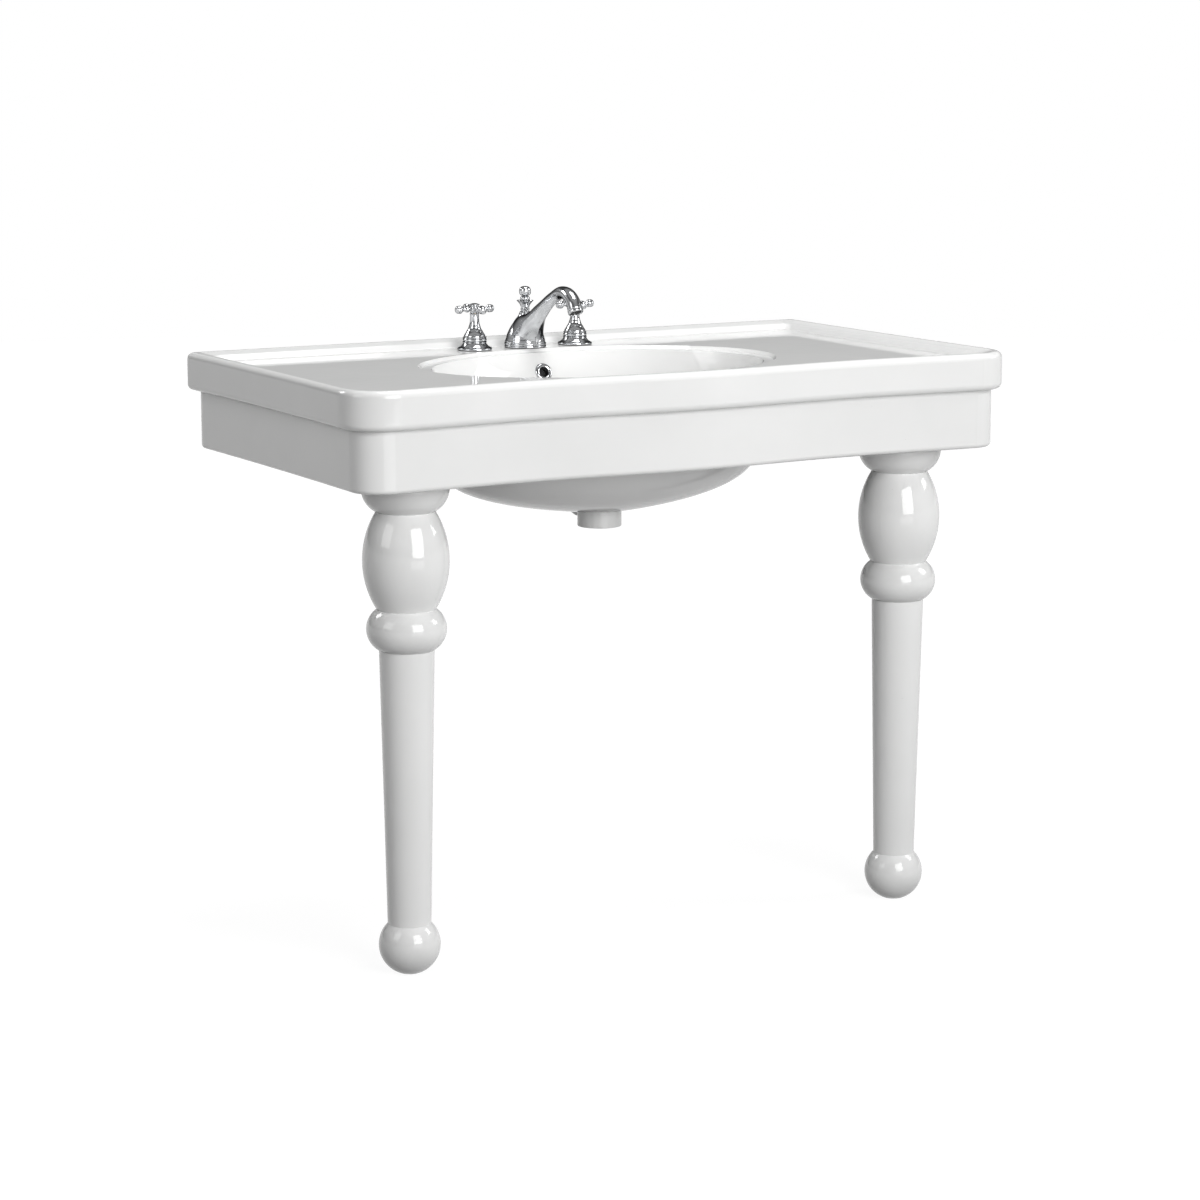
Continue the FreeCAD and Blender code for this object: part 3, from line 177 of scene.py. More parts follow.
backdrop = add(tree, "ShaderNodeMix", {"Factor": rays.outputs["Is Camera Ray"], 6: seen.outputs[2],
                                       7: (1.0, 1.0, 1.0, 1.0)}, data_type="RGBA")
sky = add(tree, "ShaderNodeBackground", {"Color": backdrop.outputs[2], "Strength": 1.0})
add(tree, "ShaderNodeOutputWorld", {"Surface": sky.outputs[0]})
bpy.context.scene.view_settings.view_transform = "Standard"
print("room level", ROOM_LEVEL)

# %% [markdown]
# ## The floor
#
# The floor is a pale disc that the object casts its soft shadow on. It glows a little for
# the camera, so that it runs into the white backdrop with no edge, and more so further out,
# where the lamps no longer reach. Seen from below it is clear, so the underside can be
# looked at.

# %% Lay the floor
FLOOR_RADIUS = 9.0
FLOOR_GREY = 0.16
GLOW_NEAR, GLOW_FAR = 0.6, 3.5
angle = np.linspace(0.0, 2.0 * np.pi, 96, endpoint=False)
rim = np.stack([FLOOR_RADIUS * np.cos(angle), FLOOR_RADIUS * np.sin(angle), 0.0 * angle], axis=1)
floor_mesh = bpy.data.meshes.new("floor")
floor_mesh.from_pydata(rim.tolist(), [], [list(range(len(rim)))])
floor = bpy.data.objects.new("floor", floor_mesh)
bpy.context.scene.collection.objects.link(floor)

floor_paint = bpy.data.materials.new("pale_floor")
floor_paint.use_nodes = True
tree = floor_paint.node_tree
tree.nodes.clear()
rays = add(tree, "ShaderNodeLightPath")
where = add(tree, "ShaderNodeTexCoord")
reach = add(tree, "ShaderNodeVectorMath", {0: where.outputs["Object"]}, operation="LENGTH")
glow = add(tree, "ShaderNodeMapRange", {"Value": reach.outputs["Value"], "From Min": GLOW_NEAR,
                                        "From Max": GLOW_FAR, "To Min": 0.92, "To Max": 1.0})
shiny = add(tree, "ShaderNodeMath", {0: rays.outputs["Is Camera Ray"], 1: rays.outputs["Is Glossy Ray"]},
            operation="MAXIMUM")
strength = add(tree, "ShaderNodeMath", {0: glow.outputs["Result"], 1: shiny.outputs[0]},
               operation="MULTIPLY")
paint = add(tree, "ShaderNodeBsdfDiffuse", {"Color": (FLOOR_GREY, FLOOR_GREY, FLOOR_GREY, 1.0)})
light = add(tree, "ShaderNodeEmission", {"Strength": strength.outputs[0]})
lit = add(tree, "ShaderNodeAddShader", {0: paint.outputs[0], 1: light.outputs[0]})
clear = add(tree, "ShaderNodeBsdfTransparent")
side = add(tree, "ShaderNodeNewGeometry")
both = add(tree, "ShaderNodeMixShader", {0: side.outputs["Backfacing"], 1: lit.outputs[0],
                                         2: clear.outputs[0]})
add(tree, "ShaderNodeOutputMaterial", {"Surface": both.outputs[0]})
floor_mesh.materials.append(floor_paint)
print("floor radius", FLOOR_RADIUS)

# %% [markdown]
# ## Effects that several finishes share
#
# Real surfaces are never even: a glaze pools and thins, plating picks up smears, metal keeps
# the lines of the cloth that polished it. Each such effect could be written again in every
# material. It is made once as a node group that gives a mask or a height, and each material
# places it with values of its own. Everything is measured on Object coordinates, in metres,
# so a pattern has the same true size on every piece.


# %% Build the shared node groups
def effect(name, inputs, output):
    """An empty node group with number or vector inputs and one number output."""
    group = bpy.data.node_groups.new(name, "ShaderNodeTree")
    for label, kind, value in inputs:
        socket = group.interface.new_socket(label, in_out="INPUT", socket_type=kind)
        if value is not None:
            socket.default_value = value
    group.interface.new_socket(output, in_out="OUTPUT", socket_type="NodeSocketFloat")
    source = group.nodes.new("NodeGroupInput")
    sink = group.nodes.new("NodeGroupOutput")
    return group, source, sink


def make_clouds():
    """Soft patches: noise, spread by Contrast about its middle."""
    group, source, sink = effect("clouds", [("Vector", "NodeSocketVector", None),
                                            ("Scale", "NodeSocketFloat", 10.0),
                                            ("Contrast", "NodeSocketFloat", 2.0)], "Mask")
    noise = add(group, "ShaderNodeTexNoise", {"Vector": source.outputs["Vector"],
                                              "Scale": source.outputs["Scale"], "Detail": 4.0})
    middle = add(group, "ShaderNodeMath", {0: noise.outputs["Fac"], 1: 0.5}, operation="SUBTRACT")
    spread = add(group, "ShaderNodeMath", {0: middle.outputs[0], 1: source.outputs["Contrast"], 2: 0.5},
                 operation="MULTIPLY_ADD", use_clamp=True)
    group.links.new(spread.outputs[0], sink.inputs["Mask"])
    return group


def make_specks():
    """Small round dots in a few of the cells of a random pattern."""
    group, source, sink = effect("specks", [("Vector", "NodeSocketVector", None),
                                            ("Scale", "NodeSocketFloat", 200.0),
                                            ("Size", "NodeSocketFloat", 0.12),
                                            ("Rarity", "NodeSocketFloat", 0.9)], "Mask")
    cells = add(group, "ShaderNodeTexVoronoi", {"Vector": source.outputs["Vector"],
                                                "Scale": source.outputs["Scale"]})
    near = add(group, "ShaderNodeMath", {0: cells.outputs["Distance"], 1: source.outputs["Size"]},
               operation="LESS_THAN")
    lot = add(group, "ShaderNodeSeparateColor", {"Color": cells.outputs["Color"]})
    rare = add(group, "ShaderNodeMath", {0: lot.outputs[0], 1: source.outputs["Rarity"]},
               operation="GREATER_THAN")
    dots = add(group, "ShaderNodeMath", {0: near.outputs[0], 1: rare.outputs[0]}, operation="MULTIPLY")
    group.links.new(dots.outputs[0], sink.inputs["Mask"])
    return group


def make_hairlines():
    """Fine parallel lines: noise squeezed hard across one direction by Stretch."""
    group, source, sink = effect("hairlines", [("Vector", "NodeSocketVector", None),
                                               ("Stretch", "NodeSocketVector", (1.0, 1.0, 40.0)),
                                               ("Scale", "NodeSocketFloat", 60.0)], "Height")
    squeezed = add(group, "ShaderNodeVectorMath", {0: source.outputs["Vector"],
                                                   1: source.outputs["Stretch"]}, operation="MULTIPLY")
    noise = add(group, "ShaderNodeTexNoise", {"Vector": squeezed.outputs["Vector"],
                                              "Scale": source.outputs["Scale"], "Detail": 6.0,
                                              "Roughness": 0.6})
    group.links.new(noise.outputs["Fac"], sink.inputs["Height"])
    return group


def make_threads():
    """Screw threads as even ridges across Z: one sine wave for each Pitch of height."""
    group, source, sink = effect("threads", [("Vector", "NodeSocketVector", None),
                                             ("Pitch", "NodeSocketFloat", 0.0018)], "Height")
    parts = add(group, "ShaderNodeSeparateXYZ", {0: source.outputs["Vector"]})
    turns = add(group, "ShaderNodeMath", {0: parts.outputs["Z"], 1: source.outputs["Pitch"]},
                operation="DIVIDE")
    phase = add(group, "ShaderNodeMath", {0: turns.outputs[0], 1: 2.0 * math.pi}, operation="MULTIPLY")
    wave = add(group, "ShaderNodeMath", {0: phase.outputs[0]}, operation="SINE")
    group.links.new(wave.outputs[0], sink.inputs["Height"])
    return group


CLOUDS, SPECKS, HAIRLINES, THREADS = make_clouds(), make_specks(), make_hairlines(), make_threads()
print("effects:", [group.name for group in (CLOUDS, SPECKS, HAIRLINES, THREADS)])


# %% Helpers for the finishes
class Finish:
    """A material under construction: its tree, its shader and the Object coordinates."""

    def __init__(self, name, color, metallic, roughness):
        self.material = bpy.data.materials.new(name)
        self.material.use_nodes = True
        self.tree = self.material.node_tree
        self.shader = self.tree.nodes["Principled BSDF"]
        self.shader.inputs["Base Color"].default_value = (*color, 1.0)
        self.shader.inputs["Metallic"].default_value = metallic
        self.shader.inputs["Roughness"].default_value = roughness
        self.place = add(self.tree, "ShaderNodeTexCoord").outputs["Object"]

    def use(self, group, **values):
        """Places a shared effect and gives back what it puts out."""
        node = add(self.tree, "ShaderNodeGroup", node_tree=group)
        self.tree.links.new(self.place, node.inputs["Vector"])
        for label, value in values.items():
            node.inputs[label].default_value = value
        return node.outputs[0]

    def mix(self, mask, low, high):
        """A colour between low and high; either may be a colour or another mix."""
        values = {"Factor": mask}
        for key, colour in ((6, low), (7, high)):
            values[key] = colour if isinstance(colour, bpy.types.NodeSocket) else (*colour, 1.0)
        return add(self.tree, "ShaderNodeMix", values, data_type="RGBA").outputs[2]

    def span(self, mask, low, high):
        """The mask carried over to a range of numbers."""
        return add(self.tree, "ShaderNodeMapRange", {"Value": mask, "To Min": low,
                                                     "To Max": high}).outputs["Result"]

    def rim(self, start, full):
        """A mask that is 0 up to a share of turning away from the eye and 1 from the full one."""
        away = add(self.tree, "ShaderNodeLayerWeight", {"Blend": 0.5}).outputs["Facing"]
        return add(self.tree, "ShaderNodeMapRange", {"Value": away, "From Min": start, "From Max": full},
                   interpolation_type="SMOOTHSTEP").outputs["Result"]

    def feed(self, label, socket):
        self.tree.links.new(socket, self.shader.inputs[label])

    def emboss(self, height, strength, distance, under=None):
        """Turns a height into a bump, on top of another bump if there is one."""
        values = {"Height": height, "Strength": strength, "Distance": distance}
        if under is not None:
            values["Normal"] = under
        return add(self.tree, "ShaderNodeBump", values).outputs["Normal"]


print("finish helper ready")

# %% [markdown]
# ## China glaze
#
# Vitreous china is a white body under a clear, glassy glaze. It could be a plain glossy
# white, but up close the glaze is a little wavy, like the skin of an orange, slightly creamy
# where it pools, and it has a few pin holes. The waves are a low bump, the pools a faint
# change of colour and gloss, the pin holes rare dark specks.
#
# The photograph shows a thin dark line wherever the china turns away from the eye, where the
# glaze mirrors the unlit ends of the studio. This room has no such ends, so the line is made
# in the material: darker and less shiny near edge-on. It is a look, not a fact about glaze.
# Faces that look up are left out, because they mirror the sweep instead.

# %% Mix the glaze
GLAZE_THIN, GLAZE_POOLED, PIN_HOLE = (0.875, 0.875, 0.87), (0.835, 0.838, 0.832), (0.55, 0.53, 0.5)
# Colour of the painted dark edge line, a painted reflection of unlit surroundings.
GLAZE_PAINTED_EDGE_SHADE = (0.42, 0.42, 0.42)
glaze = Finish("china_glaze", GLAZE_THIN, 0.0, 0.07)
glaze.shader.inputs["IOR"].default_value = 1.5
pools = glaze.use(CLOUDS, Scale=7.0, Contrast=2.2)
pin_holes = glaze.use(SPECKS, Scale=150.0, Size=0.05, Rarity=0.965)
surface = add(glaze.tree, "ShaderNodeNewGeometry")
upward = add(glaze.tree, "ShaderNodeSeparateXYZ", {0: surface.outputs["Normal"]})
not_level = add(glaze.tree, "ShaderNodeMapRange", {"Value": upward.outputs["Z"], "From Min": 0.6,
                                                   "From Max": 0.85, "To Min": 1.0, "To Max": 0.0})
# Painted reflection: a dark, less shiny line near edge-on, for unlit studio ends the glaze would mirror.
# Level faces are left out.
painted_edge_shade = add(glaze.tree, "ShaderNodeMath", {0: glaze.rim(0.7, 0.97), 1: not_level.outputs["Result"]},
              operation="MULTIPLY").outputs[0]
fired = glaze.mix(pin_holes, glaze.mix(pools, GLAZE_THIN, GLAZE_POOLED), PIN_HOLE)
# The painted dark edge line goes into the colour here.
glaze.feed("Base Color", glaze.mix(painted_edge_shade, fired, GLAZE_PAINTED_EDGE_SHADE))
glaze.feed("Specular IOR Level", glaze.span(painted_edge_shade, 0.5, 0.05))
glaze.feed("Roughness", glaze.span(glaze.use(CLOUDS, Scale=31.0, Contrast=2.5), 0.02, 0.06))
waves = glaze.emboss(glaze.use(CLOUDS, Scale=55.0, Contrast=1.0), 0.10, 0.0006)
glaze.feed("Normal", glaze.emboss(pin_holes, 0.2, -0.0002, waves))
print("glaze", GLAZE_THIN)

# %% [markdown]
# ## Chrome
#
# Chrome plating is a mirror with a cold grey cast. A perfect mirror looks like a drawing, so
# the plating gets what a used tap has: dim smears that change the gloss, dried water marks,
# and hairlines from wiping. Its edges get a painted dark reflection, as the glaze's do, and for the same
# reason.


# %% Mix the chrome
CHROME = (0.63, 0.64, 0.655)
SMEARED, CHROME_PAINTED_EDGE_SHADE = 0.93, 0.28


def plated(name, color, low, high, stretch):
    """Plating whose gloss runs from low to high under smears, wiped along one direction."""
    finish = Finish(name, color, 1.0, low)
    smears = finish.use(CLOUDS, Scale=38.0, Contrast=2.6)
    marks = finish.use(SPECKS, Scale=160.0, Size=0.22, Rarity=0.88)
    dull = tuple(SMEARED * part for part in color)
    dark = tuple(CHROME_PAINTED_EDGE_SHADE * part for part in color)
    worn = finish.mix(smears, color, dull)
    # Painted reflection: the colour darkens towards edge-on, for unlit studio ends mirrored in the
    # plating.
    finish.feed("Base Color", finish.mix(finish.rim(0.4, 0.95), worn, dark))
    finish.shader.inputs["Specular Tint"].default_value = (0.15, 0.15, 0.15, 1.0)
    spotted = add(finish.tree, "ShaderNodeMath", {0: smears, 1: marks}, operation="MAXIMUM")
    finish.feed("Roughness", finish.span(spotted.outputs[0], low, high))
    lines = finish.use(HAIRLINES, Stretch=stretch, Scale=70.0)
    finish.feed("Normal", finish.emboss(lines, 0.06, 0.0002))
    return finish.material


chrome = plated("chrome_plate", CHROME, 0.05, 0.14, (1.0, 1.0, 25.0))
chrome_spout = plated("chrome_spout", CHROME, 0.09, 0.19, (18.0, 1.0, 1.0))
print("chrome", CHROME)

# %% [markdown]
# ## Brass, copper, zinc, rubber and nylon
#
# Under the deck everything is working metal: brass that has dulled in patches, drawn copper
# tube, zinc-plated steel, black rubber. Nobody sees it from the front, but the part is used
# from all sides, so each has its own colour, tarnish and tool marks.


# %% Mix the hidden finishes
def aged(name, bright, dull, roughness, threaded=False):
    """Bare metal that has dulled in patches; threaded metal has ridges as well."""
    finish = Finish(name, bright, 1.0, roughness)
    tarnish = finish.use(CLOUDS, Scale=45.0, Contrast=3.0)
    finish.feed("Base Color", finish.mix(tarnish, bright, dull))
    finish.feed("Roughness", finish.span(tarnish, roughness, min(1.0, roughness + 0.22)))
    bump = finish.emboss(finish.use(HAIRLINES, Stretch=(1.0, 1.0, 30.0), Scale=90.0), 0.25, 0.0002)
    if threaded:
        bump = finish.emboss(finish.use(THREADS, Pitch=0.0018), 0.9, 0.0006, bump)
    finish.feed("Normal", bump)
    return finish.material


def soft(name, light, dark, roughness, grain):
    """Rubber or moulded plastic: fine grain, a little dust in it."""
    finish = Finish(name, light, 0.0, roughness)
    dust = finish.use(CLOUDS, Scale=60.0, Contrast=2.4)
    finish.feed("Base Color", finish.mix(dust, dark, light))
    finish.feed("Roughness", finish.span(dust, roughness, min(1.0, roughness + 0.15)))
    finish.feed("Normal", finish.emboss(finish.use(CLOUDS, Scale=grain, Contrast=1.5), 0.3, 0.0002))
    return finish.material


brass = aged("bare_brass", (0.78, 0.57, 0.27), (0.52, 0.37, 0.19), 0.26)
threaded_brass = aged("threaded_brass", (0.78, 0.57, 0.27), (0.50, 0.36, 0.18), 0.28, threaded=True)
copper = aged("drawn_copper", (0.83, 0.46, 0.32), (0.50, 0.27, 0.19), 0.24)
zinc = aged("zinc_plate", (0.62, 0.63, 0.66), (0.42, 0.43, 0.46), 0.34)
rubber = soft("black_rubber", (0.055, 0.055, 0.055), (0.022, 0.022, 0.022), 0.62, 900.0)
nylon = soft("black_nylon", (0.035, 0.035, 0.037), (0.015, 0.015, 0.016), 0.45, 700.0)
print("hidden finishes:", [m.name for m in (brass, threaded_brass, copper, zinc, rubber, nylon)])

# %% Dress the solids
WEARS = {
    "china": glaze.material,
    "chrome": chrome,
    "steel": zinc,
    "brass": brass,
    "copper": copper,
    "rubber": rubber,
    "plastic": nylon,
}
THREADED = {"spout_shank", "valve_body_left", "valve_body_right", "leg_bolts"}
for part in frame["record"]["subparts"]:
    mesh = nodes[part["node"]].data
    mesh.materials.clear()
    slot = part["material_slot"]
    cut_thread = slot == "brass" and part["node"] in THREADED
    mesh.materials.append(threaded_brass if cut_thread else WEARS[slot])
print("dressed", len(nodes), "solids")

# %% [markdown]
# ## Surfaces from numbers
#
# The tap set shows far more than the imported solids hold: beads with a fine ring on each side,
# a cup with a thin lip, a spout whose sides are hollowed to a keel. Such shapes could be
# sculpted, or bevelled from simple solids. Here each is worked out as a table of points, since
# a turned piece is only one profile carried round an axis, and a spout is one section carried
# along a path. Three steps make every profile: bow its steps outwards, ease its corners as
# polishing does, and spread the points so that tight curves get more of them than straight
# runs. All lengths in these cells are millimetres until a piece is made.


# %% Draw and ease a profile
def bowed(corners, closed, count=16):
    """Points along a line of (radius, height, bow) corners. The step that ends at a corner is
    the straight step plus 4 t (1 - t) times the bow, to the right of the way it runs."""
    ends = np.asarray(corners, dtype=float)
    starts = np.roll(ends, 1, axis=0)
    if not closed:
        starts, ends = starts[1:], ends[1:]
    step = ends[:, :2] - starts[:, :2]
    right = np.stack([step[:, 1], -step[:, 0]], axis=1) / np.linalg.norm(step, axis=1, keepdims=True)
    share = np.linspace(0.0, 1.0, count, endpoint=False)[None, :, None]
    swell = 4.0 * share * (1.0 - share) * ends[:, None, 2:]
    points = (starts[:, None, :2] + share * step[:, None] + swell * right[:, None]).reshape(-1, 2)
    return points if closed else np.vstack([points, ends[-1, :2]])


def walked(points):
    """How far along its line each point lies."""
    return np.concatenate([[0.0], np.cumsum(np.linalg.norm(np.diff(points, axis=0), axis=1))])


def picked(points, places, at):
    """The points of a line at the given places, each number read off in a straight run."""
    return np.stack([np.interp(at, places, column) for column in points.T], axis=1)


def eased(points, closed, radius, fine=0.12):
    """The line with its corners rounded: points at equal small steps, each then the mean of
    its neighbours within the radius, twice over. An open line keeps its two ends."""
    loop = np.vstack([points, points[:1]]) if closed else points
    far = walked(loop)
    count = max(8, int(round(far[-1] / fine)))
    even = picked(loop, far, np.linspace(0.0, far[-1], count + 1))
    reach = max(1, int(round(radius / fine)))
    window = np.full(2 * reach + 1, 1.0 / (2 * reach + 1))
    body = even[:-1] if closed else even
    for _ in range(2):
        if closed:
            padded = np.vstack([body[-reach:], body, body[:reach]])
        else:
            before, after = 2.0 * body[0] - body[reach:0:-1], 2.0 * body[-1] - body[-2:-reach - 2:-1]
            padded = np.vstack([before, body, after])
        body = np.stack([np.convolve(column, window, "valid") for column in padded.T], axis=1)
    return np.vstack([body, body[:1]]) if closed else body


def spread(points, closed, longest=2.0, turn=9.0):
    """Fewer points on the same line, at even steps of (length / longest + degrees / turn)."""
    step = np.diff(points, axis=0)
    heading = np.unwrap(np.arctan2(step[:, 1], step[:, 0]))
    bend = np.abs(np.diff(heading, append=heading[-1:]))
    cost = np.linalg.norm(step, axis=1) / longest + np.degrees(bend) / turn
    place = np.concatenate([[0.0], np.cumsum(cost)])
    line = picked(points, place, np.linspace(0.0, place[-1], int(math.ceil(place[-1])) + 1))
    return line[:-1] if closed else line


def profile(corners, closed=False, radius=0.25, longest=2.0, turn=9.0):
    """A finished profile: bowed, eased and spread."""
    return spread(eased(bowed(corners, closed), closed, radius), closed, longest, turn)


bead_test = profile([(6.0, 0.0, 0.0), (6.0, 3.0, 1.2)])
print("a bead of", len(bead_test), "points, widest at", round(float(bead_test[:, 0].max()), 2))


# %% Carry a profile round, and make a mesh
MILLIMETRE = 0.001
SHARP_FROM = math.radians(40.0)


def lathe(line, around=96):
    """Rings of points: ring i holds (r cos a, r sin a, z) of profile point i, for even a."""
    angle = np.linspace(0.0, 2.0 * np.pi, around, endpoint=False)
    radius, height = line[:, :1], line[:, 1:]
    return np.stack([radius * np.cos(angle), radius * np.sin(angle),
                     height + 0.0 * angle], axis=2)


def shell(rings, closed=False):
    """Points and faces of a tube of rings. Corner (i, j) is joined to (i, j + 1),
    (i + 1, j + 1) and (i + 1, j). A closed tube runs from its last ring back to its first; an
    open one gets a flat face on each end."""
    count, around = rings.shape[:2]
    number = np.arange(count * around).reshape(count, around)
    beside = np.roll(number, -1, axis=1)
    above, above_beside = np.roll(number, -1, axis=0), np.roll(beside, -1, axis=0)
    quads = np.stack([number, beside, above_beside, above], axis=2)
    faces = (quads if closed else quads[:-1]).reshape(-1, 4).tolist()
    if not closed:
        faces += [number[0, ::-1].tolist(), number[-1].tolist()]
    return rings.reshape(-1, 3), faces


def together(*shells):
    """Several shells as one: the faces of each count on from the points before it."""
    starts = np.cumsum([0] + [len(points) for points, _ in shells])
    faces = [[corner + int(start) for corner in face]
             for start, (_, own) in zip(starts, shells) for face in own]
    return np.vstack([points for points, _ in shells]), faces


def laid(shape, along, origin=(0.0, 0.0, 0.0)):
    """The shell with its own axis turned to run along a direction from an origin."""
    points, faces = shape
    turn = np.array(Vector((0.0, 0.0, 1.0)).rotation_difference(Vector(along)).to_matrix())
    return points @ turn.T + np.asarray(origin), faces


def piece(name, shape, material, body, slot, *replaced):
    """Makes the object, in metres, with soft shading up to 40 degrees, and hands it over."""
    points, faces = shape
    mesh = bpy.data.meshes.new(name)
    mesh.from_pydata((points * MILLIMETRE).tolist(), [], faces)
    mesh.shade_smooth()
    mesh.set_sharp_from_angle(angle=SHARP_FROM)
    mesh.materials.append(material)
    made = bpy.data.objects.new(name, mesh)
    bpy.context.scene.collection.objects.link(made)
    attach(made, body)
    if replaced:
        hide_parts(*replaced)
    print(name, len(points), "points", len(faces), "faces")
    return made


TAP_ROW = 239.0
DECK_TOP = 853.5
VALVES = {"left": -90.0, "right": 90.0}

# %% [markdown]
# ## Valve covers
#
# Each valve has a turned chrome cover: a wide foot that sweeps up to a round bead with a fine
# ring on either side, then a bell that draws in to a slim neck. One closed profile gives the
# outside, the flat mouth and the hollow inside that stands over the valve body, so the cover
# is a true shell and can be looked at from any side.

# %% Turn the valve covers
COVER = [
    (12.4, 0.0, 0), (27.3, 0.0, 0), (27.3, 1.5, 0), (26.4, 2.7, 0.2), (23.6, 4.2, -0.2),
    (20.3, 7.0, -0.4), (18.0, 10.6, -0.2), (18.8, 10.9, 0), (18.8, 12.1, 0.35), (17.3, 12.4, 0),
    (17.3, 18.2, 1.5), (18.3, 18.5, 0), (18.3, 19.5, 0.3), (16.9, 19.8, 0), (15.9, 23.2, 0.35),
    (12.5, 29.0, -0.2), (9.2, 36.0, -0.55), (7.3, 43.6, -0.35), (6.9, 50.0, 0),
    (6.9, 54.6, 0), (7.5, 55.0, 0), (7.5, 56.0, 0.1), (4.55, 56.0, 0), (4.55, 19.0, 0),
    (12.4, 19.0, 0),
]
cover = shell(lathe(profile(COVER, closed=True, radius=0.2)), closed=True)
for side, x in VALVES.items():
    piece("cover_" + side, laid(cover, (0, 0, 1), (x, TAP_ROW, DECK_TOP)), chrome, "sink", "chrome",
          "valve_cover_" + side)

# %% [markdown]
# ## Cross handles
#
# A cross handle is cast with four arms. Each arm swells to a bead, necks in, and ends in a
# ball. All four are the same turned shape laid along a direction, on a round hub with two
# grooves. The shells run into one another, as cast metal does, and the chrome hides the join.

# %% Turn the handles and their caps
HUB_FOOT, HUB_HEIGHT = DECK_TOP + 56.5, 13.0
HUB = [
    (4.15, 0.0, 0), (6.5, 0.0, 0), (6.9, 1.2, 0.1), (6.2, 1.7, 0), (6.2, 2.3, 0), (7.1, 2.8, 0),
    (7.5, 6.5, 0.2), (7.1, 10.2, 0.2), (6.3, 10.7, 0), (6.3, 11.3, 0), (7.0, 11.8, 0),
    (6.8, 13.0, 0.1), (4.15, 13.0, 0),
]
ARM = [
    (3.2, 5.0, 0), (3.0, 8.2, -0.1), (3.5, 9.0, 0), (3.5, 16.6, 1.3), (3.0, 17.0, 0),
    (2.7, 19.2, -0.1), (3.3, 20.6, 0), (3.3, 21.3, 0.1), (3.0, 21.6, 0),
    (6.0, 27.2, 1.4), (0.05, 33.2, 2.45),
]
CAP = [(0.05, 0.0, 0), (8.0, 0.0, 0), (8.2, 0.8, 0.1), (7.5, 1.2, 0), (6.9, 1.2, 0), (0.05, 2.6, 0.5)]
hub = shell(lathe(profile(HUB, closed=True, radius=0.15), 72), closed=True)
arm = shell(lathe(profile(ARM, radius=0.15, longest=1.2), 40))
cap = shell(lathe(profile(CAP, radius=0.12, longest=1.2), 72))
for side, x in VALVES.items():
    middle = (0.0, 0.0, 0.5 * HUB_HEIGHT)
    arms = [laid(arm, along, middle) for along in ((1, 0, 0), (0, 1, 0), (-1, 0, 0), (0, -1, 0))]
    turning = "hot_handle" if side == "left" else "cold_handle"
    piece("cross_" + side, laid(together(hub, *arms), (0, 0, 1), (x, TAP_ROW, HUB_FOOT)), chrome,
          turning, "chrome", "handle_" + side)
    piece("cap_" + side, laid(cap, (0, 0, 1), (x, TAP_ROW, HUB_FOOT + HUB_HEIGHT)), chrome, turning,
          "chrome", "handle_cap_" + side)

# %% [markdown]
# ## Crown and lift knob
#
# On top of the spout's dome stands a small flared cup, like the top of a chess piece. The
# knob that works the drain stopper sits in it: a bead in the cup, a neck, and a ball. The cup
# belongs to the fixed tap, the knob rides on the lift rod, so they are two pieces with a
# little air between them.

# %% Turn the crown and the knob
DOME_TOP = DECK_TOP + 53.0
CUP_FLOOR = DOME_TOP + 14.3
CROWN = [
    (2.6, 0.0, 0), (8.6, 0.0, 0), (8.9, 1.1, 0.15), (7.4, 2.3, 0), (6.7, 2.8, 0), (6.6, 5.0, -0.1),
    (7.2, 5.4, 0),
    (7.2, 6.4, 0.2), (6.6, 6.8, 0), (7.3, 11.0, -0.35), (9.6, 15.2, -0.35), (13.2, 19.2, -0.25),
    (13.2, 19.9, 0.1), (11.9, 19.7, 0.1), (8.3, 14.6, -0.4), (2.6, 14.3, 0),
]
KNOB = [
    (0.05, 12.0, 0), (2.6, 12.0, 0), (2.6, 0.0, 0), (4.0, 0.0, 0), (4.0, 3.3, 0), (7.5, 7.9, 1.3),
    (4.1, 12.3, 1.3), (3.9, 12.6, 0), (9.2, 18.6, 1.75), (0.05, 27.8, 3.7),
]
crown = shell(lathe(profile(CROWN, closed=True, radius=0.15)), closed=True)
knob = shell(lathe(profile(KNOB, radius=0.15, longest=1.4, turn=7.0), 80))
piece("crown", laid(crown, (0, 0, 1), (0.0, TAP_ROW, DOME_TOP)), chrome, "sink", "chrome",
      "rod_crown")
piece("knob", laid(knob, (0, 0, 1), (0.0, TAP_ROW, CUP_FLOOR)), chrome, "lift", "chrome", "lift_knob")

# %% [markdown]
# ## Overflow ring and throat
#
# In the back wall of the bowl a chrome ring frames the overflow. The hole is in shade. A black
# throat with a small baffle, which lets water past its edge, is put behind it as painted shade, like a
# moulded overflow insert: it makes the hole read black and hides the duct. A black disc would look the
# same from the front, but not from the side, so the throat is made as a real tube with the baffle on
# three ribs.

# %% Turn the overflow ring and its throat
OVERFLOW = (0.0, 178.7, 818.0)
INTO_BOWL = (0.0, -0.9128, 0.4084)
RING = [
    (8.25, -9.0, 0), (9.3, -9.0, 0), (9.3, -1.0, 0), (14.5, -1.0, 0), (14.5, 0.6, 0.1),
    (9.0, 2.7, 1.45), (8.25, 1.5, 0.2),
]
THROAT = [(7.2, -8.8, 0), (8.2, -8.8, 0), (8.2, 0.7, 0), (7.8, 0.7, 0)]
SHADE_BAFFLE = [(0.05, -7.6, 0), (5.6, -7.6, 0), (5.6, -6.4, 0), (0.05, -6.4, 0)]
ring = shell(lathe(profile(RING, closed=True, radius=0.15, longest=1.2), 80), closed=True)
piece("overflow_trim", laid(ring, INTO_BOWL, OVERFLOW), chrome, "sink", "chrome", "overflow_ring")
throat = shell(lathe(profile(THROAT, closed=True, radius=0.1), 72), closed=True)
shade_baffle = shell(lathe(profile(SHADE_BAFFLE, radius=0.1), 48))
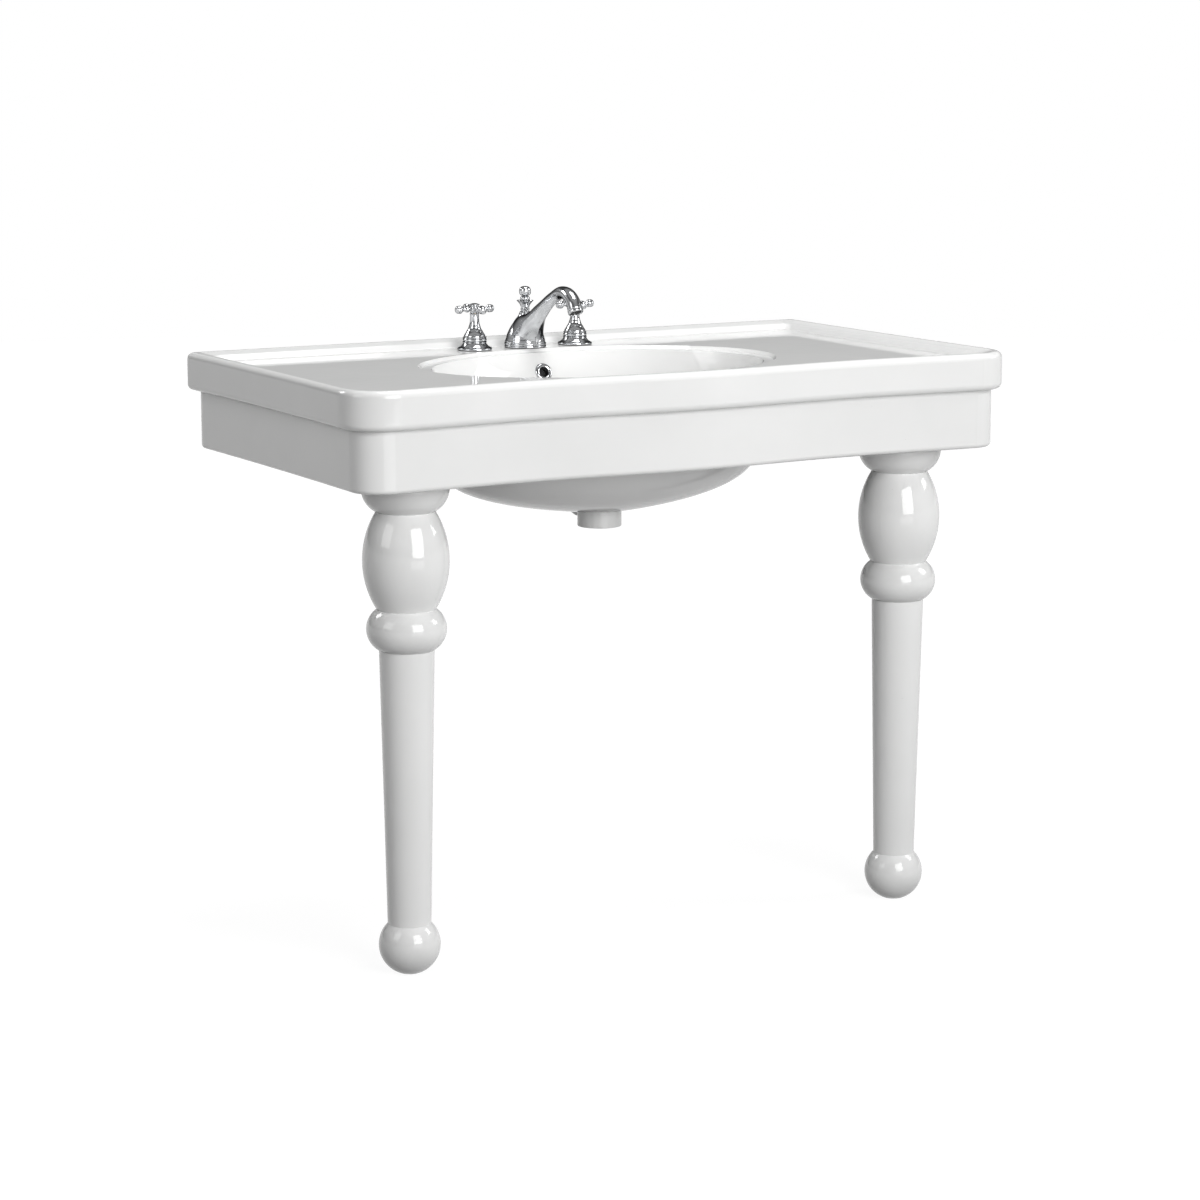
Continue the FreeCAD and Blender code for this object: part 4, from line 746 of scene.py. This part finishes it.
rib = shell(lathe(np.array([[0.6, 5.0], [0.6, 7.6]]), 12))
ribs = [laid(rib, (math.cos(turn), math.sin(turn), 0.0), (0.0, 0.0, -7.0))
        for turn in (math.pi / 2, math.pi * 7 / 6, math.pi * 11 / 6)]
# Painted shade: the black throat and baffle stand for the shade inside the overflow hole.
piece("overflow_shade_throat", laid(together(throat, shade_baffle, *ribs), INTO_BOWL, OVERFLOW), nylon, "sink",
      "plastic")

# %% [markdown]
# ## The spout
#
# The spout is one casting: a dome over a ringed base, and an arm that leaves the dome low
# down, thick and keeled, rises forwards, slims to a tube and turns over to the outlet. The
# arm could be a pipe along a curve, but a pipe is round, and this arm is round only on top:
# below its widest line the sides run flat to a keel. So the section itself changes along the
# way. The dome is turned like the other pieces, hollow below for the shank and bored for the
# lift rod.


# %% Shape the spout
def flowing(rows, between):
    """Rows on a smooth curve through the given rows. Each span is the cubic that keeps the
    row and the slope at both its ends; a slope is taken from the rows on either side."""
    rows = np.asarray(rows, dtype=float)
    places = walked(rows[:, :2])
    slopes = np.gradient(rows, places, axis=0)
    at = np.linspace(0.0, len(rows) - 1.0, (len(rows) - 1) * between + 1)
    span = np.minimum(at.astype(int), len(rows) - 2)
    t = (at - span)[:, None]
    length = np.diff(places)[span][:, None]
    return ((2 * t**3 - 3 * t**2 + 1) * rows[span] + (t**3 - 2 * t**2 + t) * length * slopes[span]
            + (3 * t**2 - 2 * t**3) * rows[span + 1] + (t**3 - t**2) * length * slopes[span + 1])


def keeled(rows, around=96):
    """Rings across a path of (y, z, radius, back, lean, keel) rows. The back half of a ring is
    an ellipse, (r cos a, back sin a). The front half is r (cos a, sin a) drawn by the share
    keel to the straight run from its widest point to the foot, where the angle's share s of a
    quarter turn gives r (1 - s, s). Its backward direction is (0, cos lean, sin lean)."""
    angle = np.linspace(0.0, 2.0 * np.pi, around, endpoint=False)[None, :]
    y, z, radius, back, lean, keel = (column[:, None] for column in rows.T)
    side, rear = np.sign(np.cos(angle)), np.sin(angle)
    quarter = np.arcsin(np.abs(rear)) / (0.5 * np.pi)
    flat = np.where(rear < 0.0, keel, 0.0)
    across = radius * side * ((1.0 - flat) * np.abs(np.cos(angle)) + flat * (1.0 - quarter))
    rise = np.where(rear < 0.0, -radius * ((1.0 - flat) * np.abs(rear) + flat * quarter), back * rear)
    tilt = np.radians(lean)
    return np.stack([across, y + rise * np.cos(tilt), z + rise * np.sin(tilt)], axis=2)


DOME = [
    (3.1, 10.1, 0), (14.1, 10.0, 0), (14.1, 0.0, 0), (33.0, 0.0, 0), (33.0, 2.2, 0.15), (32.1, 2.6, 0),
    (32.1, 3.2, 0), (32.8, 3.6, 0), (32.8, 6.4, 0.15), (31.6, 6.9, 0), (31.6, 7.6, 0), (31.9, 8.0, 0),
    (30.6, 13.0, 0.15), (26.8, 24.0, 0.4), (21.9, 33.0, 0.2), (15.5, 43.0, 0), (10.2, 50.0, -0.3),
    (9.3, 53.0, -0.1), (3.1, 53.0, 0),
]
ARM_ROWS = [
    (236.4, 857.5, 30.6, 31.0, 0.0, 0.30), (235.4, 863.6, 30.2, 33.5, 1.0, 0.40),
    (225.0, 879.6, 25.5, 36.5, 14.0, 0.60), (216.3, 888.6, 22.2, 32.5, 24.0, 0.72),
    (207.0, 896.9, 19.0, 19.0, 34.0, 0.80), (182.0, 913.8, 13.6, 13.6, 50.0, 0.80),
    (146.0, 936.4, 10.2, 10.2, 62.0, 0.55), (117.8, 947.3, 10.0, 10.0, 82.0, 0.20),
    (96.6, 944.6, 10.7, 10.7, 109.0, 0.0), (83.5, 935.5, 11.2, 11.2, 134.0, 0.0),
    (77.0, 924.5, 11.5, 11.5, 150.0, 0.0),
]
dome = shell(lathe(profile(DOME, closed=True, radius=0.25)), closed=True)
print("dome", len(dome[0]), "points")

# %% Hollow the outlet and make the spout
MOUTH_RADIUS, MOUTH_DEPTH = 8.4, 11.0
way = flowing(ARM_ROWS, 10)
outlet_y, outlet_z, _, _, outlet_lean, _ = way[-1]
outwards = np.array([0.0, -math.sin(math.radians(outlet_lean)), math.cos(math.radians(outlet_lean))])
inner_y, inner_z = outlet_y - MOUTH_DEPTH * outwards[1], outlet_z - MOUTH_DEPTH * outwards[2]
mouth = [(y, z, MOUTH_RADIUS, MOUTH_RADIUS, outlet_lean, 0.0)
         for y, z in ((outlet_y, outlet_z), (inner_y, inner_z))]
spout_arm = shell(keeled(np.vstack([way, mouth])))
piece("spout_casting", together(laid(dome, (0, 0, 1), (0.0, TAP_ROW, DECK_TOP)), spout_arm),
      chrome_spout, "sink", "chrome", "spout")
COLLAR = [
    (8.45, 0.0, 0), (11.6, 0.0, 0), (12.0, 0.6, 0.1), (11.5, 1.4, 0), (11.5, 1.9, 0), (11.9, 2.3, 0),
    (11.9, 4.6, 0.1), (10.9, 6.3, 0.25), (9.0, 6.5, 0.1), (8.45, 5.6, 0),
]
collar = shell(lathe(profile(COLLAR, closed=True, radius=0.12, longest=1.2), 72), closed=True)
piece("outlet_collar", laid(collar, outwards, (0.0, outlet_y, outlet_z)), chrome, "sink", "chrome",
      "outlet_ring")
